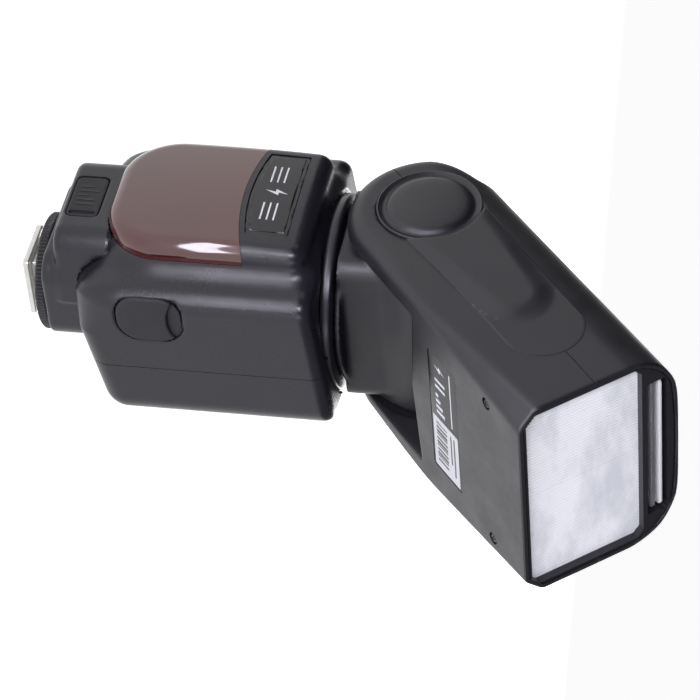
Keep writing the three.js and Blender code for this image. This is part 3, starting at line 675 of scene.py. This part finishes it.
# ------------------------------------------------------------------ body fields
def body_main(x, y, z, inset=0.0):
    side = np.abs(x) - BODY_HALF
    shoulder = 0.30 * np.abs(x) - 0.954 * y - 34.0
    front = both(shoulder, -SHELF - y, 5)
    around = both(both(side, y - BACK, 8), front, 5.5)
    foot_end = (22.9 + 0.2 * (y + 10) - z) * 0.98
    head_end = (z - 97.4 - 0.1 * (y + 3)) * 0.995
    foot_round = 6 + 12 * np.clip((-8 - y) / 16, 0, 1)
    return both(both(around, foot_end, foot_round), head_end, 4) + inset


def bump_face(x, z):
    """y of the raised front's crowned face."""
    return BUMP["front"] + 0.0022 * x * x + 0.0008 * (z - 55) ** 2


def bump_outline(x, z):
    sides = both(np.abs(x) - BUMP["half"], BUMP["low"] - z, BUMP["round"])
    return both(sides, z - BUMP["high"], 5)


def bump_form(x, y, z, inset=0.0, edge=2.2):
    return both(bump_outline(x, z), bump_face(x, z) - y, edge) + inset


def body_hollow(x, y, z):
    room = both(body_main(x, y, z, SHELL), z - BUMP["high"])
    return both(room, -32.2 - x)


def body_form(x, y, z):
    raised = both(bump_form(x, y, z, edge=4.2), y + 10)
    outer = either(body_main(x, y, z), raised, 6.5)
    collar_room = both(disc(x, y, COLLAR_R + 0.3), 95.7 - z)
    door_room = both(slab2(y, z, -18.3, 19.8, -10, 88.3), x + 33.8)
    shape = less(outer, body_hollow(x, y, z))
    bump_room = both(both(bump_form(x, y, z, SHELL), span(z, 76.5, 90)), y + 10)
    shape = less(shape, bump_room)
    shape = less(shape, collar_room, 0.4)
    shape = less(shape, door_room)
    port = both(slab2(y - PORT_Y, z - PORT_Z, -8.5, 8.5, -10.3, 10.3, 7.2), 34.7 - x)
    return less(shape, port, 0.5)


def split_at(obj, y, keep_front):
    low, high = (y, FAR) if keep_front else (-FAR, y)
    return cut_with(obj, cutter_box((-FAR, low, -FAR), (FAR, high, 3 * FAR)))


def body_shells(cell):
    form = mesh_from_field("front_shell_skin", body_form, (-36, -37.5, 19), (36, 25, 101), cell)
    rear = form.copy()
    rear.data = form.data.copy()
    rear.name = "rear_shell_skin"
    bpy.context.scene.collection.objects.link(rear)
    front = split_at(form, SEAM - SEAM_GAP, True)
    rear = split_at(rear, SEAM + SEAM_GAP, False)
    cut_with(front, cutter_prism(window_outline(0.12), "y", -60, WINDOW_BACK))
    cut_with(front, cutter_prism(plate_outline(0.15), "y", -60, -34.2))
    for outline in back_openings():
        cut_with(rear, cutter_prism(outline, "y", 18, 30))
    finish_piece(front, "shell", "body", ["front_shell"])
    finish_piece(rear, "shell", "body", ["rear_shell"])


def arc_height(x):
    return 70 + ARC * x * x


def window_outline(grow):
    """The window's outline in (x, z): round foot corners and a curved upper edge."""
    half, low, r = BUMP["half"] + grow, BUMP["low"] - grow, BUMP["round"]
    points = [(x, arc_height(x) + grow) for x in np.linspace(half, -half, 33)]
    for cu, turn in ((-half + r, 2), (half - r, 3)):
        for k in range(17):
            angle = (turn + k / 16) * math.pi / 2
            points.append((cu + r * math.cos(angle), low + r + r * math.sin(angle)))
    return points


def plate_outline(grow):
    """The name plate's outline in (x, z), with a curved lower edge beside the window."""
    left, right, high = PLATE["left"] - grow, PLATE["right"] + grow, PLATE["high"] + grow
    low = [(x, PLATE["low"] + ARC * x * x - grow) for x in np.linspace(left, right, 21)]
    return low + [(right, high), (left, high)]


def back_openings():
    yield round_rect(-21.3, 65.2, 21.3, 89.8, 1.8)
    for x in KEY_X:
        yield round_rect(x - 5.3, KEY_Z - 2.7, x + 5.3, KEY_Z + 2.7, 2.2)
    yield circle(0, PAD_Z, 12.8)
    yield circle(-SIDE_KEY_X, PAD_Z, 4.3, 32)
    yield round_rect(20.2, 37.7, 26.8, 48.3, 1.6)


def window_piece(cell):
    def field(x, y, z):
        outline = bump_outline(x, z)
        bevel = (outline + bump_face(x, z) - y) / 1.414 + 1.7
        outer = both(both(bump_form(x, y, z, 0.0, 1.0), bevel, 1.2), outline)
        shell = less(outer, bump_form(x, y, z, 2.1, 4.0))
        return both(both(shell, y + 26), z - 79)
    obj = mesh_from_field("window_skin", field, (-25, -37.5, 29), (25, -26, 80), cell)
    cut_with(obj, cutter_box((-60, WINDOW_BACK - 0.1, 0), (60, 0, 120)))
    above = [(x, arc_height(x)) for x in np.linspace(-30, 30, 41)] + [(30, 120), (-30, 120)]
    cut_with(obj, cutter_prism(above, "y", -60, 0))
    finish_piece(obj, "window", "body", ["front_window"], 40)


def plate_face(x, z):
    """The height in y of the name plate's front face."""
    return bump_face(x, z) + 0.05


def name_plate(cell):
    def field(x, y, z, inset=0.0, lift=0.0):
        low = PLATE["low"] + ARC * x * x - z
        outline = both(both(low, z - PLATE["high"], 0.8), span(x, PLATE["left"], PLATE["right"]), 0.8) + inset
        return both(both(outline, plate_face(x, z) + 0.28 - lift - y, 0.2), y + 34.3)
    low, high = (-20, -37.2, 71.5), (17.2, -34.1, 86.8)
    base = mesh_from_field("name_plate_skin", field, low, high, cell)
    finish_piece(base, "gloss", "body", ["name_plate"], 40)
    panel = mesh_from_field("name_plate_panel", lambda x, y, z: field(x, y, z, 1.15, 0.28), low, high, cell)
    finish_piece(panel, "gloss", "body", sharp=40)

    def on_plate(u, v, h):
        return u, plate_face(u, v) - h, v
    shapes = [bolt(-1.5, 79.6, 3.4)]
    shapes += [bar(-13.5, 78.6 + k, -6, 79.1 + k) for k in (-2.0, 0.0, 2.0)]
    shapes += [bar(3.5, 78.6 + k, 11, 79.1 + k) for k in (-2.0, 0.0, 2.0)]
    marks("name_plate_marks", shapes, on_plate, "print", "body", height=0.05)


def side_port(cell):
    def field(x, y, z):
        u, v = y - PORT_Y, z - PORT_Z
        outline = slab2(u, v, -8.2, 8.2, -9.95, 9.95, 7)
        dome = 0.006 * (u * u + 0.8 * v * v)
        face = both(outline, span(x, 35.0, 37.0 - dome), 0.7)
        return less(face, both(disc(u, v - 17.6, 12), 35.5 - x), 0.5)
    obj = mesh_from_field("side_port_cover_skin", field, (34.8, -24.5, 36), (37.3, -7, 57), cell)
    finish_piece(obj, "rubber", "side_port_cover", ["side_port_cover"])


# ------------------------------------------------------------------ shoe
def shoe_base(cell):
    def field(x, y, z):
        neck = both(both(both(np.abs(x) - BASE_HALF, y - 9, 7), -21 - y, 8), span(z, 9.7, 33), 1.5)
        side = (np.abs(x) - 19.2 - 0.13 * (y - BLOCK_FRONT)) * 0.99
        front = both(both(both(side, BLOCK_FRONT - y, 6), y + 8), span(z, 14, 33), 2.6)
        shape = either(neck, front, 1.6)
        shape = less(shape, either(body_main(x, y, z, -0.3), bump_form(x, y, z, -0.35), 4))
        pocket = both(slab2(x, z, -9.3, 9.3, 15.7, 26.3, 2.2), y + 29.6)
        return less(shape, pocket, 0.3)
    obj = mesh_from_field("shoe_base_skin", field, (-22, -31, 9.7), (22, 9, 33), cell)
    finish_piece(obj, "shell", "body", ["shoe_base"])

    def cover(x, y, z):
        shape = both(slab2(x, z, -9, 9, 16, 26, 2), span(y, POWER_FACE, POWER_FACE + 2.65), 0.5)
        nail = both(slab2(x, z, 6.6, 8.0, 17, 25, 0.6), y + 30.1)
        return less(shape, nail, 0.3)
    obj = mesh_from_field("power_port_cover_skin", cover, (-9.2, -31.2, 15.8), (9.2, -28, 26.2), 0.4)
    finish_piece(obj, "rubber", "power_port_cover", ["power_port_cover"])
    shapes = [bar(x, 18.0, x + 0.8, z) for x, z in ((-5, 22), (-3, 24), (-1, 21), (1, 23.5), (3, 24))]

    def on_cover(u, v, h):
        return u, POWER_FACE - h, v
    marks("power_port_marks", shapes, on_cover, "rubber", "power_port_cover", 0.16)


def shoe_parts():
    top, low, rim, bore = RING["high"], RING["low"], RING["r"], RING["bore"]
    half_loop = [(bore, 0.2), (bore + 0.2, 0), (rim - 1.1, 0), (rim - 0.4, 0.25), (rim, 0.7)]
    loop = [(r, low + h) for r, h in half_loop] + [(r, top - h) for r, h in reversed(half_loop)]
    teeth = {"teeth": RING["teeth"], "tooth_depth": RING["tooth"], "tooth_from": rim - 1.0}
    ring = lathe("locking_ring_skin", loop, segments=9 * RING["teeth"], **teeth)
    finish_piece(ring, "ring", "locking_ring", ["locking_ring"], 40)

    def foot(x, y, z):
        plate = both(slab2(x, y, -9.3, 9.3, -10.5, 10.5, 1.2), span(z, 0, 2), 0.35)
        neck = both(slab2(x, y, -6.15, 6.15, -8, 8, 0.6), span(z, 1, 5))
        stem = both(disc(x, y, 8.5), span(z, 4.9, 9.4), 0.2)
        shape = either(either(plate, neck, 0.4), stem)
        seats = both(disc(np.abs(x) - SCREW_X, np.abs(y) - SCREW_Y, 1.55), z - 0.55)
        return less(less(shape, disc(x, y + 3.2, 1.75), 0.2), seats, 0.1)
    obj = mesh_from_field("shoe_foot_skin", foot, (-9.3, -10.5, 0), (9.3, 10.5, 9.4), 0.34)
    finish_piece(obj, "steel", "body", ["shoe_foot"])
    for k, (x, y) in enumerate(((1, 1), (-1, 1), (-1, -1), (1, -1))):
        screw(f"foot_screw_{k + 1}", (x * SCREW_X, y * SCREW_Y, 0.48), (0, 0, -1), 1.3, "body")

    def washer(x, y, z):
        plate = both(slab2(x, y, -10, 10, -10, 10, 2), span(z, 4.2, 4.9), 0.15)
        return less(plate, slab2(x, y, -6.45, 6.45, -8.3, 8.3, 0.5))
    obj = mesh_from_field("lock_washer_skin", washer, (-10, -10, 4.2), (10, 10, 4.9), 0.3)
    finish_piece(obj, "steel", "lock_washer", ["lock_washer"])
    pin = [(0, 0.06), (0.6, 0.1), (1.15, 0.3), (1.4, 0.75), (1.4, 9.0), (0, 9.0)]
    obj = lathe("contact_pin_skin", pin, center=(0, -3.2, 0), segments=48)
    finish_piece(obj, "brass", "contact_pin", ["contact_pin"])


# ------------------------------------------------------------------ back panel and battery door
def key_piece(name, outline, top, edge=0.45):
    obj = plate_piece(name + "_skin", outline, "y", KEY_BACK, top, edge)
    return finish_piece(obj, "rubber", name, [name])


def on_back(face):
    """Where marks go on a face at that y, seen from behind."""
    return lambda u, v, h: (u, face + h, v)


def display():
    glass = plate_piece("lcd_window_skin", round_rect(-21, 65.5, 21, 89.5, 1.5), "y", 23.4, 24.9, 0.15)
    finish_piece(glass, "gloss", "body", ["lcd_window"])
    area = plate_piece("lcd_area", round_rect(-18, 68, 18, 87.5, 0.8), "y", 24.4, GLASS, 0.04)
    finish_piece(area, "screen", "body")
    shapes = [bolt(14.2, 84, 1.9)]
    shapes += [bar(6.4, 83, 11.6, 83.5), bar(6.4, 85, 11.6, 85.5)]
    shapes += [bar(6.4, 83.5, 6.9, 85), bar(11.1, 83.5, 11.6, 85)]
    shapes += [bar(-16 + 1.7 * k, 69.6, -15 + 1.7 * k, 70.3 + 0.22 * k) for k in range(19)]
    for left in (-6.5, -0.5, 5.5):
        shapes += [bar(left + 0.4, v, left + 3.4, v + 0.5) for v in (74, 76.8, 79.6)]
        shapes += [bar(left, 74.5, left + 0.5, 76.8), bar(left + 3.3, 77.3, left + 3.8, 79.6)]
    shapes += text_like(-15.5, 83.6, (2.0, 1.2, 2.6), 1.2, 0.7)
    marks("lcd_segments", shapes, on_back(GLASS), "segment", "body", 0.03)


def key_icons():
    """Generic signs for the three keys: bars, a pair of arrows and a lamp."""
    left, middle, right = KEY_X
    bars = [bar(left - 1.6 + 1.3 * k, 58.2, left - 0.9 + 1.3 * k, 59.8) for k in range(3)]
    turns = [arrow(middle + side * 1.7, KEY_Z, 0.9, -side * math.pi / 2) for side in (1, -1)]
    rays = [bar(right + side * 1.3 - 0.3, 58.8, right + side * 1.3 + 0.3, 59.2) for side in (-1, 1)]
    return {"mode_button": bars, "zoom_button": turns, "light_button": [circle(right, KEY_Z, 0.8, 20)] + rays}


def back_keys():
    captions = [bar(x - 2.0, 62.9, x + 2.0, 63.4) for x in KEY_X]
    captions += [bar(-25.3, 36.6, -21.7, 37.1), arrow(28.6, 46.5, 0.9), bar(28.2, 38.6, 29.0, 41.2)]
    marks("back_captions", captions, on_back(BACK), "print", "body", height=0.04)
    key_face = BACK + 0.9
    for name, x in zip(("mode_button", "zoom_button", "light_button"), KEY_X):
        key_piece(name, round_rect(x - 5, KEY_Z - 2.4, x + 5, KEY_Z + 2.4, 2), key_face)
    for name, shapes in key_icons().items():
        marks(name + "_icon", shapes, on_back(key_face), "print", name, height=0.04)


def round_keys():
    dish = [(6, KEY_BACK), (6, 25.3), (6.3, 25.7), (7.5, 25.55), (9.5, 25.6)]
    dish += [(11.4, 25.95), (12.1, 25.85), (12.5, 25.4), (12.5, KEY_BACK)]
    pad = lathe("four_way_pad_skin", dish, "y", (0, 0, PAD_Z))
    finish_piece(pad, "rubber", "four_way_pad", ["four_way_pad"])
    arrows = []
    for turn in (0, math.pi / 2, math.pi, -math.pi / 2):
        arrows.append(arrow(9.2 * math.cos(turn), PAD_Z + 9.2 * math.sin(turn), 0.95, turn - math.pi / 2))
    marks("pad_arrows", arrows, on_back(25.62), "print", "four_way_pad", height=0.05)
    for name, x, r, top in (("ok_button", 0, 5.2, 26.1), ("test_button", -SIDE_KEY_X, 4.0, 25.8)):
        dome = [(0, top), (0.5 * r, top - 0.06), (0.8 * r, top - 0.2), (0.95 * r, top - 0.5)]
        dome += [(r, top - 1.0), (r, KEY_BACK), (0, KEY_BACK)]
        key = lathe(name + "_skin", dome, "y", (x, 0, PAD_Z), 64)
        finish_piece(key, "rubber", name, [name])
    marks("ok_mark", [circle(0, PAD_Z, 1.0, 24)], on_back(26.08), "print", "ok_button", height=0.04)
    marks("test_mark", [bolt(-SIDE_KEY_X, PAD_Z, 1.7)], on_back(25.74), "print", "test_button", height=0.05)


def power_switch():
    key_piece("power_switch", round_rect(20.5, 38, 26.5, 44, 1.5), BACK + 0.5)
    ribs = [bar(21.3, z, 25.7, z + 0.45) for z in (39.4, 40.4, 41.4, 42.4)]
    marks("power_switch_ribs", ribs, on_back(BACK + 0.5), "rubber", "power_switch", 0.5)


def battery_door(cell):
    def field(x, y, z):
        panel = both(body_main(x, y, z), x + 34)
        panel = both(panel, both(span(y, -17.9, 15.3), z - 87.9, 0.6), 0.25)
        barrel = both(disc(x + 34.15, y - 17.6, 1.8), span(z, 40, 78))
        arm = both(both(x + 34, -35.9 - x), both(span(y, 14, 17.6), span(z, 40.2, 77.8)))
        return either(either(panel, arm), barrel, 0.4)
    obj = mesh_from_field("battery_door_skin", field, (-36, -18, 20), (-32.3, 19.5, 88), cell)
    for k in range(7):
        z = 30.5 + 2.2 * k
        cut_with(obj, cutter_box((-40, -11, z), (-35.55, 9, z + 1.0)))
    finish_piece(obj, "shell", "battery_door", ["battery_door"])
    shapes = [arrow(-1, 50.5, 2.2, math.pi), bar(-1.5, 51.6, -0.5, 56), bar(-7, 80.5, 5, 81.2)]

    def on_door(u, v, h):
        return -BODY_HALF - h, u, v
    marks("door_marks", shapes, on_door, "shell", "battery_door", 0.02)


# ------------------------------------------------------------------ swivel
def swivel_parts(cell):
    loop = [(12.4, 91), (23.7, 91), (23.7, 95.9), (28.6, 96), (29.5, 96.15), (29.9, 96.55)]
    loop += [(COLLAR_R, 97.1), (COLLAR_R, 98.5), (29.85, 99.0), (29.4, 99.3), (28.6, 99.4), (12.4, 99.4)]
    collar = lathe("swivel_collar_skin", loop, segments=144)
    cut_with(collar, cutter_box((27.6, -0.6, 97.0), (32, 0.6, 98.4)))
    finish_piece(collar, "shell", "body", ["swivel_collar"], 40)

    def neck(x, y, z):
        drum = both(disc(x, z - AXIS_Z, DRUM_R), np.abs(y) - 28, 1.0)
        pedestal = both(slab2(x, y, -19.5, 19.5, -27, 27, 6), span(z, 100.5, AXIS_Z))
        flange = both(disc(x, y, 25.5), span(z, 99.8, 101.4), 0.6)
        return either(either(drum, pedestal, 1.5), flange, 1.8)
    obj = mesh_from_field("swivel_neck_skin", neck, (-25.5, -28, 99.8), (25.5, 28, 148.2), cell)
    finish_piece(obj, "head_shell", "neck", ["swivel_neck"])


# ------------------------------------------------------------------ head fields (head axes)
def head_side(x, z):
    """The side view: round behind the tilt axis, straight along the label side."""
    radius = 24.7
    straight = np.where(z < 0, np.hypot(x, z), np.abs(x)) - radius - 0.3 * np.clip(z / 20, 0, 1)
    cover = both(both(-6 - z - 0.25 * (x + 28), -28.4 - x, 2.5), x + 10)
    return straight, cover


def cheek_face(z):
    """|y| of the head's two sides, which bulge a little halfway along."""
    return HEAD_HALF + 0.5 * np.clip(1 - ((z - 45) / 46) ** 2, 0, 1)


def head_section(x, y, z, inset=0.0):
    """The head without its flat front end, pulled in by inset."""
    straight, cover = head_side(x, z)
    depth = either(straight, cover, 1.0)
    wide = np.abs(y) - cheek_face(z)
    chamfer = ((x - 25) + (np.abs(y) - HEAD_HALF) + 5.8 * np.clip((z - 30) / 60.8, 0, 1)) / 1.414
    card_corner = -0.678 * x + 0.735 * np.abs(y) - 37.9
    crown = -x - 28.4 + 0.0023 * y * y
    edge = 1.2 + 4.3 * np.clip((45 - z) / 45, 0, 1)
    body = both(depth, crown, 1.5)
    body = both(both(body, wide, edge), chamfer, 1.0)
    return both(body, card_corner, 5.0) + inset


def head_form(x, y, z):
    between = np.abs(y) - CHEEK_IN
    drum = both(disc(x, z, DRUM_R + 0.6), between)
    open_label = both(both(-x, between), z - 28 - 0.1 * np.abs(y))
    open_back = both(between, z + 6 + 0.25 * (x + 28))
    shape = both(head_section(x, y, z), z - HEAD_FRONT, 0.8)
    shape = less(shape, both(head_section(x, y, z, HEAD_SHELL), 31 - z))
    shape = less(shape, drum)
    shape = less(shape, open_label, 1.2)
    shape = less(shape, open_back, 0.6)
    cap_seat = both(disc(x, z, 15.9), 35.2 - np.abs(y))
    return less(shape, cap_seat, 0.3)


def head_shells(cell):
    form = mesh_from_field("head_lower_skin", head_form, (-29, -37, -26), (26, 37, 91), cell)
    upper = form.copy()
    upper.data = form.data.copy()
    upper.name = "head_upper_skin"
    bpy.context.scene.collection.objects.link(upper)
    cut_with(form, cutter_box((-FAR, -FAR, -FAR), (0.12, FAR, 2 * FAR)))
    cut_with(upper, cutter_box((-0.12, -FAR, -FAR), (FAR, FAR, 2 * FAR)))
    cut_with(form, cutter_prism(round_rect(-23.2, 39.8, 23.2, 55.7, 0.9), "x", 24.5, 30))
    for y in (-HEAD_SCREW["y"], HEAD_SCREW["y"]):
        cut_with(form, cutter_prism(circle(y, HEAD_SCREW["z"], 2.0, 32), "x", 24.1, 30))
    finish_piece(into_head(form), "head_shell", "head", ["head_lower_shell"])
    finish_piece(into_head(upper), "head_shell", "head", ["head_upper_shell"])


def lens_shape(grow):
    """The lens outline in (x, y): a rectangle with cut corners."""
    low, high, half, c = LENS["low"] - grow, LENS["high"] + grow, LENS["half"] + grow, LENS["corner"]
    return [
        (low + c, half), (low, half - c), (low, c - half), (low + c, -half),
        (high - c, -half), (high, c - half), (high, half - c), (high - c, half),
    ]


def lens_and_bezel(cell):
    def bezel(x, y, z):
        return both(head_section(x, y, z, 1.75), span(z, 84.5, 90.4), 0.5)
    obj = mesh_from_field("front_bezel_skin", bezel, (-28, -36, 84), (25, 36, 90.5), cell)
    cut_with(obj, cutter_prism(lens_shape(0.0), "z", 60, 110))
    cut_with(obj, cutter_prism(round_rect(-24.2, -26, -17.2, 26, 0.8), "z", 60, 110))
    finish_piece(into_head(obj), "head_shell", "head", ["front_bezel"])

    pitch, steps = 1.1, 61
    ridges = [(-36.0, LENS["back"]), (36.0, LENS["back"])]
    for k in range(steps, -1, -1):
        y = -33.55 + k * pitch
        rise = 0.13 if y > 0 else -0.13
        valley = LENS["front"] - 0.2
        ridges += [(y + 0.35 * pitch, valley + max(rise, 0)), (y - 0.35 * pitch, valley + max(-rise, 0))]
    lens = cutter_prism(ridges, "x", -17, 24)
    lens.name = "fresnel_lens_skin"
    cut_with(lens, cutter_prism(lens_shape(0.35), "z", LENS["back"], LENS["front"]), "INTERSECT")
    finish_piece(into_head(lens), "lens", "head", ["fresnel_lens"], 20)


def sliding_cards():
    card = plate_piece("bounce_card_skin", round_rect(-25.2, 38, 25.2, 89.8, 2), "x", -22.7, -21.7, 0.3)
    finish_piece(into_head(card), "white", "bounce_card", ["bounce_card"])
    panel = plate_piece("wide_panel_skin", round_rect(-25.5, 42, 25.5, 89.6, 2), "x", -20.4, -19, 0.35)
    finish_piece(into_head(panel), "clear", "wide_panel", ["wide_panel"])


def arm_form(x, y, z):
    """A raised arm that fades into a thin oval plate on the side of the head."""
    depth = np.abs(y)
    width = 12.6 - 4.9 * np.clip((z - 14.6) / 42, 0, 1)
    arm = np.hypot(x, np.maximum(z - 48.5, 0)) - width
    arm = both((arm + 1.1 * (depth - 36.6)) * 0.67, depth - 37.95, 1.4)
    oval = np.hypot(x, np.maximum(z - 63.2, 0)) - 12.2
    plate = both(oval, depth - cheek_face(z) - 0.16, 0.05)
    shape = either(arm, plate, 2.6)
    shape = both(shape, 35.6 - depth)
    return both(shape, 16.1 - np.hypot(x, z))


def head_sides(cell):
    for side, name in ((1, "left"), (-1, "right")):
        dome = [(0, 38.2), (4, 38.17), (8, 38.05), (10.6, 37.85), (11.9, 37.55), (12.5, 37.1)]
        groove = [(12.9, 36.5), (13.5, 36.15), (14.2, 36.2), (14.9, 36.7)]
        rim = [(15.4, 36.95), (15.75, 36.75), (CAP_R, 36.3), (CAP_R, 35.5), (0, 35.5)]
        profile = [(r, side * h) for r, h in dome + groove + rim]
        cap = lathe(f"pivot_cap_{name}_skin", profile, "y", segments=128)
        finish_piece(into_head(cap), "head_shell", "head", [f"pivot_cap_{name}"], 50)
        low, high = sorted((35.4 * side, 38.1 * side))
        arm = mesh_from_field(f"side_arm_{name}_skin", arm_form, (-13, low, 0), (13, high, 76), cell)
        finish_piece(into_head(arm), "head_shell", "head", [f"side_arm_{name}"], 40)


def label_plate():
    base = plate_piece("label_plate_skin", round_rect(-23, 40, 23, 55.5, 0.8), "x", 24.55, LABEL_FACE, 0.08)
    finish_piece(into_head(base), "gloss", "head", ["label_plate"])

    def on_label(u, v, h):
        return LABEL_FACE + h, u, v
    silver = [round_rect(2.0, 40.7, 22.4, 54.8, 0.5, 3)]
    marks("label_silver", silver, on_label, "label", "head", height=0.03, head=True)
    dark = [bar(4.0 + 1.5 * k, 42.5, 4.5 + 1.5 * k + 0.3 * (k % 3), 48.5) for k in range(11)]
    dark += [bar(4.0, 50.4 + 1.8 * k, 15.5 + 4 * (k % 2), 51.1 + 1.8 * k) for k in range(2)]
    marks("label_small_print", dark, on_label, "segment", "head", height=0.06, head=True)
    pale = [bolt(-18.5, 46.0, 2.8), bar(-14, 43.2, -13, 48.8), bar(-11.5, 43.2, -10.5, 48.8)]
    pale += [bar(-8 + 2.2 * k, 43.2, -6.8 + 2.2 * k, 44.6 + 1.1 * k) for k in range(4)]
    pale += [bar(-21, 51.6, 0, 52.2)]
    marks("label_large_marks", pale, on_label, "label", "head", height=0.04, head=True)
    for name, side in (("left", 1), ("right", -1)):
        place = (24.5, side * HEAD_SCREW["y"], HEAD_SCREW["z"])
        screw(f"head_screw_{name}", place, (1, 0, 0), 1.6, "head", head=True)


# ------------------------------------------------------------------ pieces that stay as the frame has them
KEPT = {
    "assist_lamp": "window", "power_socket": "inner", "sync_socket": "brass", "lcd_panel": "inner",
    "main_board": "board", "main_capacitor": "sleeve", "transformer": "copper", "battery_holder": "inner",
    "battery_cell_1": "cell", "battery_cell_2": "cell", "battery_cell_3": "cell", "battery_cell_4": "cell",
    "battery_contact_plate": "steel", "door_hinge_pin": "steel", "tilt_shaft": "steel",
    "swivel_retainer": "steel",
    "tilt_bush_left": "brass", "tilt_bush_right": "brass", "zoom_motor": "steel", "guide_rod_left": "steel",
    "guide_rod_right": "steel", "lamp_carriage": "inner", "reflector": "mirror", "xenon_tube": "clear",
    "lead_screw": "steel",
}


def dress_kept_nodes():
    for name, look in KEPT.items():
        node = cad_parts[name]
        node.data.materials.clear()
        node.data.materials.append(LOOK[look])


make_camera()
make_studio()
CELL = 0.7
FINE = 0.4
body_shells(CELL)
window_piece(0.6)
name_plate(FINE)
side_port(FINE)
shoe_base(FINE + 0.1)
shoe_parts()
display()
back_keys()
round_keys()
power_switch()
battery_door(FINE + 0.1)
swivel_parts(CELL)
head_shells(CELL)
lens_and_bezel(FINE + 0.1)
sliding_cards()
head_sides(FINE)
label_plate()
dress_kept_nodes()
